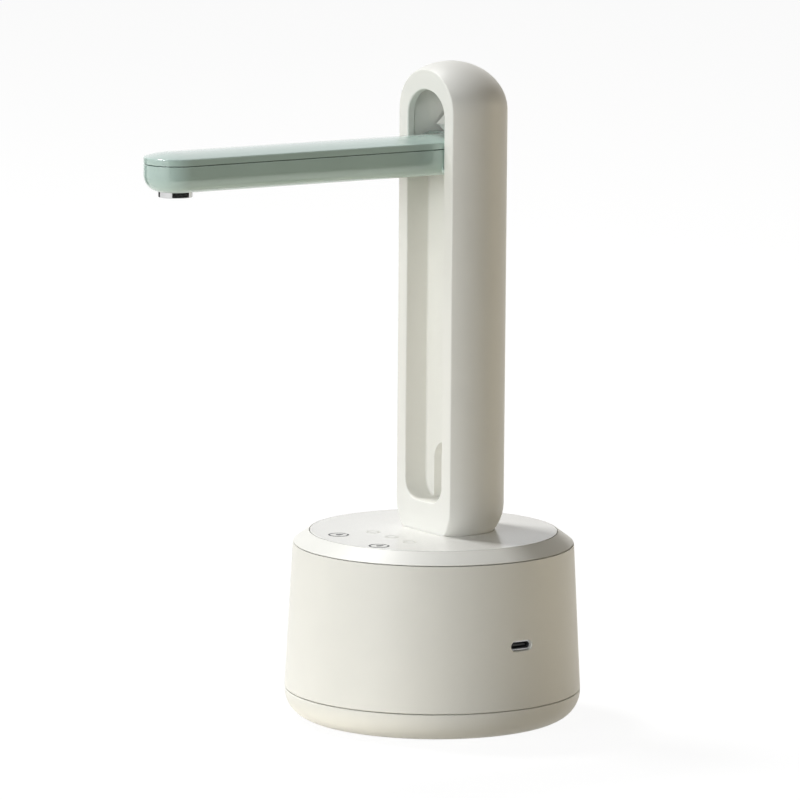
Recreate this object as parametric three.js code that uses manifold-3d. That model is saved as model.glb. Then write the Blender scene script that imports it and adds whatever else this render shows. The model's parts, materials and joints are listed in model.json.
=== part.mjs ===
// A folding electric pump that sits on the neck of a water jug.
// Millimetres, +Z up. The front faces -X: the arm points that way and folds down into the column's pocket.
import * as THREE from "three";
import { mergeVertices } from "three/addons/utils/BufferGeometryUtils.js";
import Module from "manifold-3d";

const wasm = await Module();
wasm.setup();

// Shared walls and clearances
const shellWall = 2.2;
const fitGap = 0.3;
const slipGap = 0.2; // radial, round a turning shaft
const overrun = 4; // how far a cut runs past the face that it opens
const boardThickness = 1.6;
const tubeWall = 0.8;
const tubeBore = 2.4; // radius inside the hoses
const barbBore = 1.3; // radius of the water's way through a barb

// Smoothness: sides of a full circle, and steps of a rounded corner
const drumSides = 48;
const ringSides = 32;
const rodSides = 16;
const smallSides = 8;
const cornerSteps = 4;
const domeSteps = 6;
const archSteps = 12;
const hoseSteps = 24;
const hoseSides = 6;

// Drum
const shoulderWidth = 25.4; // from the neck's socket out to the seam
const wallTaper = 2.8; // how much narrower the rim is than the seam
const seamHeight = 11.4;
const rimHeight = 65.7;
const chamferRise = 3.3;
const chamferWidth = 6.2;
const heelRadius = 10; // rounding of the drum's lower edge
const lipHeight = 3; // the lip that centres the drum's wall on the bottom shell
const skirtDepth = 5; // the top cover's skirt inside the wall
const panelThickness = 1.5;
const deckThickness = 2.2;

// Socket for the jug's neck
const wellRadius = 28.6;
const wellDepth = 25;
const sealHeight = 2;
const sealWidth = 7;
const footRingInset = 3.9; // from the socket out to the ring
const footRingHeight = 1.2;
const footRingProud = 0.5;

// Screws that close the drum from below
const bottomScrewCount = 4;
const bottomScrewInset = 11.2; // from the seam in to the screws
const bossClearance = 1; // from the screws' bosses up to the socket's ceiling
const bossRadius = 3.4;
const screwShank = 1.3;
const screwHead = 2.6;
const screwHeadHeight = 1.8;

// Column
const columnAxisX = 6; // behind the drum's axis
const faceDepth = 10.8; // from the column's axis forward to its flat face
const frontBand = 5.57; // the flat face beside the pocket
const headRise = 36; // from the pivot up to the column's top
const domeRise = 17.7;
const footRise = 9.8; // from the deck up to the centre of the lower dome
const floorThickness = 3;
const hoseHoleBack = 11.4; // from the column's axis back to the hose hole
const columnScrewForward = 6.8;
const columnScrewBack = 8.2;
const columnScrewAside = 9;
const columnScrewLength = 9;

// Pocket in the column's face
const pocketSill = 11; // from the deck up to the pocket's lower edge
const archBand = 9.9; // from the pocket's upper edge to the column's top
const archRise = 9.5;
const pocketCorner = 7;
const trayWall = 1.8;
const armSideGap = 0.55;
const tipGap = 2.75; // under the folded arm's tip
const armRest = 0.4; // between the folded arm and the pocket's back wall

// Rear cover of the column
const coverHalfWidth = 9.6;
const coverLow = 84;
const coverCorner = 4;
const coverRib = 1.2;

// Arm
const armWidth = 22.6;
const armBodyHeight = 9.8;
const coverSide = 2.6;
const crownRise = 1.7;
const lowerRound = 6;
const armWall = 1.8;
const nozzleReach = 105.35; // from the column's face to the nozzle's axis
const seamGap = 0.3;
const tailLength = 10.8; // behind the pivot
const tailCorner = 2.5;
const tailLow = 1; // how far the tail reaches below the pivot
const rimDepth = 1.5; // the cover's rim inside the body
const rimWall = 1.2;

// Hinge
const pivotDepth = 4.6; // behind the column's face
const pivotRise = 4.4; // above the arm's underside
const shaftRadius = 2;
const waterBore = 1.1; // radius of the water's way through the hinge
const earOuter = 6.35;
const earInner = 3.4;
const washerThickness = 0.4;
const hubRadius = 3.1; // the round boss on each cheek
const hubReach = 5.2; // how far the boss stands in from the cheek
const socketDepth = 3.9;
const sealBead = 0.55;
const cheekThickness = 3.1;
const cheekFront = 2.8; // from the column's face back to the cheeks' front edges
const cheekInset = 0.3; // how far the cheek lies back from the pocket's side
const cavityGap = 0.6; // round the tail's sweep
const frameRoom = 8.1; // from the hinge frame's rear face to the shell behind it, for the screws
const frameWall = 2;
const scoopGap = 0.6; // above the arm
const scoopSideGap = 1.2; // between the scoop's surface and the cheeks
const flangeThickness = 2;
const flangeHeight = 9;
const flangeInner = 4.5;
const channelWidth = 1.6;
const channelHeight = 4.4;
const barbLength = 8;
const frameScrewAside = 5;
const frameSkirt = 12; // how far the hinge frame reaches below the tray's upper end

// Nozzle
const nozzleRadius = 6.2;
const nozzleProud = 1.9;
const nozzleWall = 1.2;
const nozzleBodyRadius = 6.8;
const meshHole = 0.8;
const meshHoleCount = 6; // round the middle one
const recessSideGap = 0.6;
const recessDepth = 3.2;

// Pump
const pumpRadius = 13.6;
const pumpWall = 2;
const pumpFloor = 2;
const chamberHeight = 8.5;
const pumpCoverThickness = 2.2;
const inletRadius = 6.3;
const inletBore = 4;
const impellerRadius = 10.8;
const impellerHeight = 6.5;
const vaneCount = 6;
const vaneThickness = 1.4;
const hubOuter = 3;
const motorRadius = 12;
const motorHeadroom = 1;
const motorShaftRadius = 1.15;
const pumpScrewCount = 3;
const outletLength = 9;
const fittingRadius = 10.5;
const fittingHeight = 2.2;
const fittingBarbLength = 13.5;
const gasketThickness = 0.7;

// Battery and boards
const cellRadius = 9.2;
const cellGap = 1.1; // between the pump and the cradle
const cradleClearance = 0.96; // between the cradle's corners and the drum's wall
const cradleWall = 1.6;
const portAside = 3.5; // from the drum's middle plane
const boardStandoff = 3.55; // from the socket's ceiling up to the main board
const portWidth = 8.9;
const portThickness = 3.3;
const portLength = 7.3;
const portSheet = 0.35;
const portSetback = 1.6;
const mainBoardHalfWidth = 16;
const boardClearance = 0.5; // between the board's corners and the drum's wall
const boardPumpGap = 1.7;
const boardPostRadius = 2.4;
const boardPostAside = 11;
const boardPostInset = 4; // from the board's edge in to the posts
const touchBoardLength = 27;
const touchBoardWidth = 32;
const touchBoardGap = 2.5; // behind the board, to the motor

// Shares
const halfStep = 0.5;
const quarterStep = 0.25;
const roundEndShare = 0.96;
const chipShare = 0.3;
const cradleShare = 0.3;
const meshRowShare = 0.6;
const scoopShare = 0.533;

// Places worked out from the sizes
const seamRadius = wellRadius + shoulderWidth;
const rimRadius = seamRadius - wallTaper;
const panelRadius = rimRadius - chamferWidth;
const deckHeight = rimHeight + chamferRise;
const bottomScrewCircle = seamRadius - bottomScrewInset;
const footRingInner = wellRadius + footRingInset;
const footRingOuter = bottomScrewCircle - screwHead - 4 * fitGap;
const faceX = columnAxisX - faceDepth;
const pivotX = faceX + pivotDepth;
const cheekFrontX = faceX + cheekFront;
const knuckleRadius = pivotRise + slipGap;
const armHalf = armWidth / 2;
const nozzleX = faceX - nozzleReach;
const armLength = pivotDepth + nozzleReach + armHalf;
const footZ = deckHeight - panelThickness;
const deckTop = footZ - fitGap;
const deckLow = deckTop - deckThickness;
const sillZ = deckHeight + pocketSill;
const pivotZ = sillZ + tipGap + armLength;
const underZ = pivotZ - pivotRise;
const armSeamZ = underZ + armBodyHeight;
const creaseZ = armSeamZ + coverSide;
const armTopZ = creaseZ + crownRise;
const columnTop = pivotZ + headRise;
const pocketHalf = armHalf + armSideGap;
const columnRadius = Math.hypot(faceDepth, pocketHalf + frontBand);
const lowDomeZ = deckHeight + footRise;
const highDomeZ = columnTop - domeRise;
const pocketTopZ = columnTop - archBand;
const pocketBackX = faceX + pivotDepth + pivotRise + armRest;
const trayBackX = pocketBackX + trayWall;
const trayTopZ = pivotZ - knuckleRadius - cavityGap - fitGap;
const cheekInner = pocketHalf + cheekInset;
const cheekOuter = cheekInner + cheekThickness;
const hubInner = cheekInner - hubReach;
const scoopHalf = cheekInner - scoopSideGap;
const scoopRadius = (columnTop - armTopZ - scoopGap) * scoopShare;
const scoopZ = armTopZ + scoopGap + scoopRadius;
const tailRadius =
  Math.hypot(tailLength - tailCorner, armTopZ - pivotZ - tailCorner) + tailCorner;
const cavityRadius = tailRadius + cavityGap;
const frameBackX = columnAxisX + columnRadius - shellWall - frameRoom;
const flangeFrontX = frameBackX + fitGap;
const flangeLowZ = armTopZ;
const cheekScrewZ = flangeLowZ + flangeHeight / 2;
const cheekScrewY = (flangeInner + scoopHalf) / 2;
const frameScrewZ = trayTopZ - frameSkirt / 2;
const barbX = frameBackX - bossRadius - fitGap;
const barbY = cheekOuter - bossRadius + fitGap;
const ceilingTop = wellDepth + shellWall;
const bottomScrewHeadZ = shellWall + screwHeadHeight;
const bossTop = ceilingTop - bossClearance;
const bottomScrewLength = bossTop - shellWall - bottomScrewHeadZ;
const pumpLow = ceilingTop + fitGap;
const chamberLow = pumpLow + pumpFloor;
const pumpTop = chamberLow + chamberHeight;
const pumpCoverLow = pumpTop + fitGap;
const pumpCoverTop = pumpCoverLow + pumpCoverThickness;
const motorLow = pumpCoverTop + fitGap;
const motorTop = deckLow - motorHeadroom - shellWall;
const outletZ = chamberLow + chamberHeight / 2;
const gasketTop = wellDepth - fitGap;
const fittingTop = gasketTop - gasketThickness - fitGap;
const hoseRadius = tubeBore + tubeWall;
const hoseHoleX = columnAxisX + hoseHoleBack;
const boardLow = ceilingTop + boardStandoff;
const boardTop = boardLow + boardThickness;
const portHeight = boardTop + fitGap + portThickness / 2;
const boardScrewLength = boardStandoff + boardThickness + fitGap;
const elbowZ = pivotZ + 2 * fitGap + waterBore;
const barbRadius = tubeBore - fitGap;
const boardScrewTip = boardTop + fitGap - boardScrewLength;
const nozzleBodyLow = underZ + armWall + fitGap + nozzleWall + fitGap;
const hollowEndX = pivotX - knuckleRadius - shellWall;

const wallRadius = (z) => seamRadius - (wallTaper * (z - seamHeight)) / (rimHeight - seamHeight);
const cradleHalf = cellRadius + fitGap + cradleWall / 2;
const cellAside = pumpRadius + cellGap + cradleHalf;
const cellZ = ceilingTop + fitGap + cradleWall + fitGap + cellRadius;
const cradleTop = cellZ + cellRadius * cradleShare;
const cradleReach = wallRadius(cradleTop) - shellWall - cradleClearance;
const cradleHalfLength = Math.sqrt(cradleReach ** 2 - (cellAside + cradleHalf) ** 2);
const cellHalfLength = cradleHalfLength - cradleWall - fitGap;
const mainBoardReach = wallRadius(portHeight) - shellWall - boardClearance;
const mainBoardFront = Math.sqrt(mainBoardReach ** 2 - mainBoardHalfWidth ** 2);
const mainBoardBack = pumpRadius + screwShank + bossRadius + boardPumpGap;
const touchBoardBack = motorRadius + touchBoardGap;

// Unit directions
const alongX = new THREE.Vector3(1, 0, 0);
const alongY = new THREE.Vector3(0, 1, 0);
const alongZ = new THREE.Vector3(0, 0, 1);

// A closed geometry as a solid that can be joined and cut
function solid(geometry) {
  const bare = geometry.clone();
  bare.deleteAttribute("normal");
  bare.deleteAttribute("uv");
  const merged = mergeVertices(bare);
  const corners = [];
  for (let i = 0; i < merged.index.count; i += 3) {
    const [a, b, c] = [0, 1, 2].map((k) => merged.index.getX(i + k));
    if (a !== b && b !== c && a !== c) corners.push(a, b, c);
  }
  const made = (triangles) =>
    new wasm.Manifold(
      new wasm.Mesh({
        numProp: 3,
        vertProperties: merged.attributes.position.array,
        triVerts: new Uint32Array(triangles),
      }),
    );
  const first = made(corners);
  return first.volume() < 0 ? made(corners.reverse()) : first;
}

function geometryOf(body) {
  const { numProp, vertProperties, triVerts } = body.getMesh();
  const places = new Float32Array((vertProperties.length / numProp) * 3);
  for (let i = 0; i < places.length / 3; i += 1) {
    places.set(vertProperties.subarray(i * numProp, i * numProp + 3), i * 3);
  }
  const geometry = new THREE.BufferGeometry()
    .setAttribute("position", new THREE.BufferAttribute(places, 3))
    .setIndex(new THREE.BufferAttribute(triVerts, 1))
    .toNonIndexed();
  geometry.computeVertexNormals();
  return geometry;
}

const join = (...bodies) => bodies.reduce((whole, body) => whole.add(body));
const cut = (whole, ...tools) => tools.reduce((rest, tool) => rest.subtract(tool), whole);

function box([x0, x1], [y0, y1], [z0, z1]) {
  const geometry = new THREE.BoxGeometry(x1 - x0, y1 - y0, z1 - z0);
  return solid(geometry.translate((x0 + x1) / 2, (y0 + y1) / 2, (z0 + z1) / 2));
}

// Round rods along each direction, between two places on it
function rodX(radius, [x0, x1], y, z, sides = rodSides) {
  const geometry = new THREE.CylinderGeometry(radius, radius, x1 - x0, sides);
  return solid(geometry.rotateZ(Math.PI / 2).translate((x0 + x1) / 2, y, z));
}

function rodY(radius, x, [y0, y1], z, sides = rodSides) {
  const geometry = new THREE.CylinderGeometry(radius, radius, y1 - y0, sides);
  return solid(geometry.translate(x, (y0 + y1) / 2, z));
}

function rodZ(radius, x, y, [z0, z1], sides = rodSides) {
  const geometry = new THREE.CylinderGeometry(radius, radius, z1 - z0, sides);
  return solid(geometry.rotateX(Math.PI / 2).translate(x, y, (z0 + z1) / 2));
}

// A profile of [radius, height] pairs turned about a vertical axis
function revolve(profile, sides, x = 0, y = 0) {
  const points = profile.map(([r, z]) => new THREE.Vector2(r, z));
  const touchesAxis = profile[0][0] === 0;
  if (!touchesAxis) points.push(points[0].clone());
  const geometry = new THREE.LatheGeometry(points, sides);
  return solid(geometry.rotateX(Math.PI / 2).translate(x, y, 0));
}

// A flat ring or washer
const ringZ = (inner, outer, [z0, z1], sides = ringSides) =>
  revolve(
    [
      [inner, z0],
      [outer, z0],
      [outer, z1],
      [inner, z1],
    ],
    sides,
  );

// Points of an arc round a centre, as [across, up] pairs, angles in degrees
function arc(across, up, radiusAcross, radiusUp, from, to, steps = cornerSteps) {
  return Array.from({ length: steps + 1 }, (_, i) => {
    const angle = THREE.MathUtils.degToRad(from + ((to - from) * i) / steps);
    return [across + radiusAcross * Math.cos(angle), up + radiusUp * Math.sin(angle)];
  });
}

const outlineOf = (points) => new THREE.Shape(points.map(([a, b]) => new THREE.Vector2(a, b)));

function extrude(outline, depth, basis, place) {
  const geometry = new THREE.ExtrudeGeometry(outline, { depth, bevelEnabled: false });
  geometry.applyMatrix4(new THREE.Matrix4().makeBasis(...basis).setPosition(...place));
  return solid(geometry);
}

// Plates whose outline is drawn in the plane across their thickness
const plateX = (points, [x0, x1]) =>
  extrude(outlineOf(points), x1 - x0, [alongY, alongZ, alongX], [x0, 0, 0]);
const plateY = (points, [y0, y1]) =>
  extrude(outlineOf(points), y1 - y0, [alongX, alongZ, alongY.clone().negate()], [0, y1, 0]);
const plateZ = (points, [z0, z1]) =>
  extrude(outlineOf(points), z1 - z0, [alongX, alongY, alongZ], [0, 0, z0]);

// A rectangle with round corners, from one corner to the opposite one
function roundRect([a0, b0], [a1, b1], radius) {
  return [
    ...arc(a1 - radius, b0 + radius, radius, radius, -90, 0),
    ...arc(a1 - radius, b1 - radius, radius, radius, 0, 90),
    ...arc(a0 + radius, b1 - radius, radius, radius, 90, 180),
    ...arc(a0 + radius, b0 + radius, radius, radius, 180, 270),
  ];
}

// The pocket's outline, or one that keeps a distance outside it
function pocketOutline(outside) {
  const half = pocketHalf + outside;
  const low = sillZ - outside;
  const corner = pocketCorner + outside;
  const rise = archRise + outside;
  const springZ = pocketTopZ - archRise;
  return [
    ...arc(half - corner, low + corner, corner, corner, -90, 0),
    ...arc(0, springZ, half, rise, 0, 180, archSteps),
    ...arc(corner - half, low + corner, corner, corner, 180, 270),
  ];
}

// The column's capsule, or one that lies a distance inside it
function capsule(inside) {
  const radius = columnRadius - inside;
  const rise = domeRise - inside;
  const profile = [
    ...arc(0, lowDomeZ, radius, rise, -90, 0, domeSteps),
    ...arc(0, highDomeZ, radius, rise, 0, 90, domeSteps),
  ];
  profile[0][0] = 0;
  profile[profile.length - 1][0] = 0;
  return revolve(profile, drumSides, columnAxisX, 0);
}

// Everything in front of, behind, above or below a plane, within the column's reach
const reach = columnTop + seamRadius;
const behind = (x) => box([x, reach], [-reach, reach], [-reach, reach]);
const above = (z) => box([-reach, reach], [-reach, reach], [z, reach]);
const below = (z) => box([-reach, reach], [-reach, reach], [-reach, z]);

// The arm's form: a profile of [distance from the middle, height] with a round tip
function armForm(profile, rootX) {
  const tip = revolve(profile, ringSides, nozzleX, 0);
  const right = profile.slice(1, -1);
  const left = right.map(([a, b]) => [-a, b]).reverse();
  return join(tip, plateX([...right, ...left], [nozzleX, rootX]));
}

// The arm's root: round below the pivot, with a tail behind it
function armRoot() {
  const knuckle = rodY(knuckleRadius, pivotX, [-armHalf, armHalf], pivotZ, ringSides);
  const frontX = pivotX - fitGap;
  const backX = pivotX + tailLength;
  const lowZ = pivotZ - tailLow;
  const tail = [
    [frontX, lowZ],
    ...arc(backX - tailCorner, lowZ + tailCorner, tailCorner, tailCorner, -90, 0),
    ...arc(backX - tailCorner, armTopZ - tailCorner, tailCorner, tailCorner, 0, 90),
    [pivotX + knuckleRadius, armTopZ],
    [frontX, creaseZ],
  ];
  return join(knuckle, plateY(tail, [-armHalf, armHalf]));
}

const finish = (color, roughness, metalness = 0) =>
  new THREE.MeshStandardMaterial({ color, roughness, metalness });
const shellWhite = () => finish(0xefeee8, 0.42);
const panelWhite = () => finish(0xf1f0ec, 0.3);
const innerWhite = () => finish(0xe2e0d8, 0.55);
const mint = () => finish(0xcfe2d5, 0.42);
const silicone = () => finish(0xd9d8d2, 0.75);
const hoseClear = () => finish(0xe4e6e2, 0.35);
const darkRubber = () => finish(0x2b2b2b, 0.8);
const steel = () => finish(0xc9c9c9, 0.25, 1);
const boardGreen = () => finish(0x2f5d3a, 0.5);
const darkPlastic = () => finish(0x303234, 0.5);
const cellBlue = () => finish(0x3d6fa5, 0.4);

const pump = new THREE.Group();

function piece(name, body, material, group = pump) {
  const mesh = new THREE.Mesh(geometryOf(body), material);
  mesh.name = name;
  group.add(mesh);
  return mesh;
}

// A pan-head screw whose shank runs down from the underside of its head at zero
function screwBody(length) {
  return revolve(
    [
      [0, -length],
      [screwShank, -length],
      [screwShank, 0],
      [screwHead, 0],
      [screwHead, screwHeadHeight - fitGap],
      [screwHead - fitGap, screwHeadHeight],
      [0, screwHeadHeight],
    ],
    smallSides,
  );
}

// Places on a circle round a vertical axis, the first one a share of a step from +X
function placesOnCircle(count, radius, offsetShare = halfStep) {
  return Array.from({ length: count }, (_, i) => {
    const angle = ((i + offsetShare) / count) * 2 * Math.PI;
    return [radius * Math.cos(angle), radius * Math.sin(angle)];
  });
}

const bottomScrewPlaces = placesOnCircle(bottomScrewCount, bottomScrewCircle);
const boardPostNear = mainBoardBack + boardPostInset;
const boardPostFar = mainBoardFront - boardPostRadius - fitGap;
const boardPostPlaces = [
  [-boardPostAside, -boardPostNear],
  [boardPostAside, -boardPostNear],
  [-boardPostAside, -boardPostFar],
];

function footRing() {
  return ringZ(footRingInner, footRingOuter, [0, footRingHeight]);
}

// The shell under the seam, with the socket for the jug's neck standing up from it
function bottomShell() {
  const low = footRingProud;
  const inner = seamRadius - shellWall;
  const heel = seamRadius - heelRadius;
  const heelZ = low + heelRadius;
  const innerHeel = heelRadius - shellWall;
  const top = seamHeight - fitGap;
  const lipOuter = inner - fitGap;
  const lipInner = lipOuter - shellWall;
  const body = revolve(
    [
      [wellRadius, low],
      ...arc(heel, heelZ, heelRadius, heelRadius, -90, 0, domeSteps),
      [seamRadius, top],
      [lipOuter, top],
      [lipOuter, top + lipHeight],
      [lipInner, top + lipHeight],
      ...arc(heel, heelZ, lipInner - heel, innerHeel, 0, -90),
      [wellRadius + shellWall, low + shellWall],
      [wellRadius + shellWall, ceilingTop],
      [inletRadius + fitGap, ceilingTop],
      [inletRadius + fitGap, wellDepth],
      [wellRadius, wellDepth],
    ],
    drumSides,
  );
  const bosses = bottomScrewPlaces.map(([x, y]) =>
    rodZ(bossRadius + shellWall / 2, x, y, [low + shellWall / 2, seamHeight + lipHeight - fitGap]),
  );
  const holes = bottomScrewPlaces.map(([x, y]) =>
    join(
      rodZ(screwShank + slipGap, x, y, [-overrun, seamHeight + overrun]),
      rodZ(screwHead + fitGap, x, y, [-overrun, bottomScrewHeadZ + fitGap]),
    ),
  );
  const grooveSpan = [-overrun, footRingHeight + fitGap];
  const groove = ringZ(footRingInner - fitGap, footRingOuter + fitGap, grooveSpan);
  const posts = boardPostPlaces.map(([x, y]) => {
    const stands = Math.hypot(x, y) < wellRadius ? wellDepth : low;
    return rodZ(boardPostRadius, x, y, [stands + shellWall / 2, boardLow - fitGap], smallSides);
  });
  const postHoles = boardPostPlaces.map(([x, y]) =>
    rodZ(screwShank + slipGap, x, y, [boardScrewTip - fitGap, boardLow], smallSides),
  );
  return cut(join(body, ...bosses, ...posts), groove, ...holes, ...postHoles);
}

// The drum's wall, with a boss over each bottom screw and the opening for the charging plug
function baseShell() {
  const low = seamHeight;
  const top = rimHeight - fitGap;
  const bossLow = seamHeight + lipHeight;
  const body = revolve(
    [
      [wallRadius(low) - shellWall, low],
      [wallRadius(low), low],
      [wallRadius(top), top],
      [wallRadius(top) - shellWall, top],
    ],
    drumSides,
  );
  const bosses = bottomScrewPlaces.map(([x, y]) => {
    const post = rodZ(bossRadius, x, y, [bossLow, bossTop]);
    const rib = new THREE.BoxGeometry(seamRadius - bottomScrewCircle, shellWall, bossTop - bossLow);
    rib.translate((seamRadius + bottomScrewCircle) / 2, 0, (bossLow + bossTop) / 2);
    return join(post, solid(rib.rotateZ(Math.atan2(y, x))));
  });
  const inside = revolve(
    [
      [0, low - overrun],
      [wallRadius(low) - shellWall / 2, low - overrun],
      [wallRadius(low) - shellWall / 2, low],
      [wallRadius(top) - shellWall / 2, top],
      [0, top],
    ],
    drumSides,
  );
  const trimmed = join(...bosses).intersect(inside);
  const holes = bottomScrewPlaces.map(([x, y]) =>
    rodZ(screwShank + slipGap, x, y, [bossLow - overrun, bossTop - shellWall], smallSides),
  );
  const port = plateY(portOutline(fitGap / 2), [-seamRadius - overrun, shellWall - mainBoardFront]);
  return cut(join(body, trimmed), port, ...holes);
}

// The charging socket's round-ended outline, or one that keeps a distance outside it
function portOutline(outside) {
  const halfWidth = portWidth / 2 + outside;
  const halfHeight = portThickness / 2 + outside;
  const low = [portAside - halfWidth, portHeight - halfHeight];
  const high = [portAside + halfWidth, portHeight + halfHeight];
  return roundRect(low, high, halfHeight * roundEndShare);
}

function usbReceptacle() {
  const front = portSetback - wallRadius(portHeight);
  const back = front + portLength;
  const can = plateY(portOutline(0), [front, back]);
  const hollow = plateY(portOutline(-portSheet), [front - overrun, back - portSheet]);
  const tongue = box(
    [portAside - portWidth / 3, portAside + portWidth / 3],
    [front + portSetback, back],
    [portHeight - portSheet, portHeight + portSheet],
  );
  return join(cut(can, hollow), tongue);
}

// The chamfered ring with its sunk deck, which closes the drum
function topCover() {
  const ringInner = panelRadius + fitGap;
  const skirtOuter = wallRadius(rimHeight) - shellWall - fitGap;
  const skirtInner = skirtOuter - shellWall;
  const body = revolve(
    [
      [0, deckLow],
      [skirtInner, deckLow],
      [skirtInner, rimHeight - skirtDepth],
      [skirtOuter, rimHeight - skirtDepth],
      [skirtOuter, rimHeight],
      [rimRadius, rimHeight],
      [ringInner, deckHeight],
      [ringInner, deckTop],
      [0, deckTop],
    ],
    drumSides,
  );
  return cut(body, ...footHoles([-overrun, reach]));
}

const columnScrewPlaces = [-1, 1].flatMap((side) => [
  [columnAxisX - columnScrewForward, side * columnScrewAside],
  [columnAxisX + columnScrewBack, side * columnScrewAside],
]);

// The hose's hole and the screw holes that pass through the deck and the column's floor
function footHoles(span) {
  return [
    rodZ(hoseRadius + fitGap, hoseHoleX, 0, span),
    ...columnScrewPlaces.map(([x, y]) => rodZ(screwShank + slipGap, x, y, span, smallSides)),
  ];
}

// The flat touch panel, with an opening that follows the column's foot
function topPanel() {
  const disc = rodZ(panelRadius, 0, 0, [footZ, deckHeight], drumSides);
  const foot = capsule(-fitGap).intersect(behind(faceX - fitGap));
  return cut(disc, foot);
}

function touchBoard() {
  const front = -touchBoardBack - touchBoardLength;
  const half = touchBoardWidth / 2;
  const top = deckLow - fitGap;
  const outline = roundRect([front, -half], [-touchBoardBack, half], pocketCorner);
  return plateZ(outline, [top - boardThickness, top]);
}

function mainBoard() {
  const half = mainBoardHalfWidth;
  const back = -mainBoardBack;
  const outline = roundRect([-half, -mainBoardFront], [half, back], shellWall);
  const board = plateZ(outline, [boardLow, boardTop]);
  const chip = box(
    [-half / 2, 0],
    [back - half / 2, back - shellWall],
    [boardTop - boardThickness / 2, boardTop + boardThickness],
  );
  const coil = rodZ(boardThickness * 2, half * chipShare, back - half / 2, [boardLow, boardTop + shellWall]);
  const holes = boardPostPlaces.map(([x, y]) =>
    rodZ(screwShank + slipGap, x, y, [boardLow - overrun, boardTop + overrun], smallSides),
  );
  return cut(join(board, chip, coil), ...holes);
}

function neckSeal() {
  const outer = wellRadius - fitGap;
  const top = wellDepth - fitGap;
  return ringZ(outer - sealWidth, outer, [top - sealHeight, top]);
}

// Flange and barb under the socket's ceiling, for the hose that hangs in the jug
function inletFitting() {
  const low = fittingTop - fittingHeight;
  const bore = inletBore - tubeWall;
  return revolve(
    [
      [bore, low - fittingBarbLength],
      [inletBore, low - fittingBarbLength],
      [inletBore + tubeWall, low - fittingBarbLength + sealHeight],
      [inletBore, low - fittingBarbLength + sealHeight],
      [inletBore, low - sealHeight],
      [fittingRadius, low - sealHeight],
      [fittingRadius, fittingTop],
      [inletRadius + fitGap, fittingTop],
      [inletRadius + fitGap, low],
      [bore, low],
    ],
    ringSides,
  );
}

function pumpHousing() {
  const stubLow = fittingTop - fittingHeight + fitGap;
  const cup = revolve(
    [
      [inletBore, stubLow],
      [inletRadius, stubLow],
      [inletRadius, pumpLow],
      [pumpRadius, pumpLow],
      [pumpRadius, pumpTop],
      [pumpRadius - pumpWall, pumpTop],
      [pumpRadius - pumpWall, chamberLow],
      [inletBore, chamberLow],
    ],
    ringSides,
  );
  const barb = rodX(barbRadius, [pumpRadius - pumpWall, pumpRadius + outletLength], 0, outletZ);
  const bore = rodX(barbBore, [impellerRadius, pumpRadius + outletLength + overrun], 0, outletZ);
  const lugs = pumpScrewPlaces.map(([x, y]) => rodZ(bossRadius, x, y, [pumpLow, pumpTop], smallSides));
  const chamber = rodZ(pumpRadius - pumpWall, 0, 0, [chamberLow, reach], ringSides);
  const holes = pumpScrewPlaces.map(([x, y]) =>
    rodZ(screwShank + slipGap, x, y, [chamberLow, reach], smallSides),
  );
  return cut(join(cup, barb, cut(join(...lugs), chamber)), bore, ...holes);
}

const pumpScrewPlaces = placesOnCircle(pumpScrewCount, pumpRadius + screwShank, quarterStep);
const pumpScrewLength = chamberHeight;

function pumpCover() {
  const disc = rodZ(pumpRadius, 0, 0, [pumpCoverLow, pumpCoverTop], ringSides);
  const lugs = pumpScrewPlaces.map(([x, y]) =>
    rodZ(bossRadius, x, y, [pumpCoverLow, pumpCoverTop], smallSides),
  );
  const holes = pumpScrewPlaces.map(([x, y]) =>
    rodZ(screwShank + slipGap, x, y, [-reach, reach], smallSides),
  );
  const seatTop = pumpCoverTop - pumpCoverThickness / 3;
  const seat = rodZ(sealOuter + fitGap, 0, 0, [pumpCoverLow - overrun, seatTop]);
  const shaftHole = rodZ(motorShaftRadius + fitGap, 0, 0, [-reach, reach]);
  return cut(join(disc, ...lugs), seat, shaftHole, ...holes);
}

const sealOuter = hubOuter + motorShaftRadius;

function shaftSeal() {
  const top = pumpCoverTop - pumpCoverThickness / 3 - fitGap;
  return ringZ(motorShaftRadius + slipGap, sealOuter, [pumpCoverLow, top], rodSides);
}

function motor() {
  const neck = motorRadius / 3;
  return revolve(
    [
      [motorShaftRadius + slipGap, motorLow],
      [motorRadius - tubeWall, motorLow],
      [motorRadius, motorLow + tubeWall],
      [motorRadius, motorTop - tubeWall],
      [motorRadius - tubeWall, motorTop],
      [neck, motorTop],
      [neck, motorTop + tubeWall],
      [motorShaftRadius + slipGap, motorTop + tubeWall],
    ],
    ringSides,
  );
}

function motorShaft() {
  return rodZ(motorShaftRadius, 0, 0, [chamberLow + tubeWall, motorTop + shellWall]);
}

function impeller() {
  const low = chamberLow + tubeWall;
  const top = low + impellerHeight;
  const plate = rodZ(impellerRadius, 0, 0, [top - tubeWall, top], ringSides);
  const hub = rodZ(hubOuter, 0, 0, [low, top]);
  const vanes = Array.from({ length: vaneCount }, (_, i) => {
    const vane = new THREE.BoxGeometry(impellerRadius - hubOuter, vaneThickness, impellerHeight);
    vane.translate((impellerRadius + hubOuter) / 2 - tubeWall, 0, low + impellerHeight / 2);
    return solid(vane.rotateZ((i / vaneCount) * 2 * Math.PI));
  });
  const shaftHole = rodZ(motorShaftRadius + slipGap / 2, 0, 0, [-reach, reach]);
  return cut(join(plate, hub, ...vanes), shaftHole);
}

function batteryCell() {
  const half = cellHalfLength;
  const can = rodX(cellRadius, [-half, half - tubeWall], cellAside, cellZ, ringSides);
  const button = rodX(cellRadius / 3, [0, half], cellAside, cellZ);
  return join(can, button);
}

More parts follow.
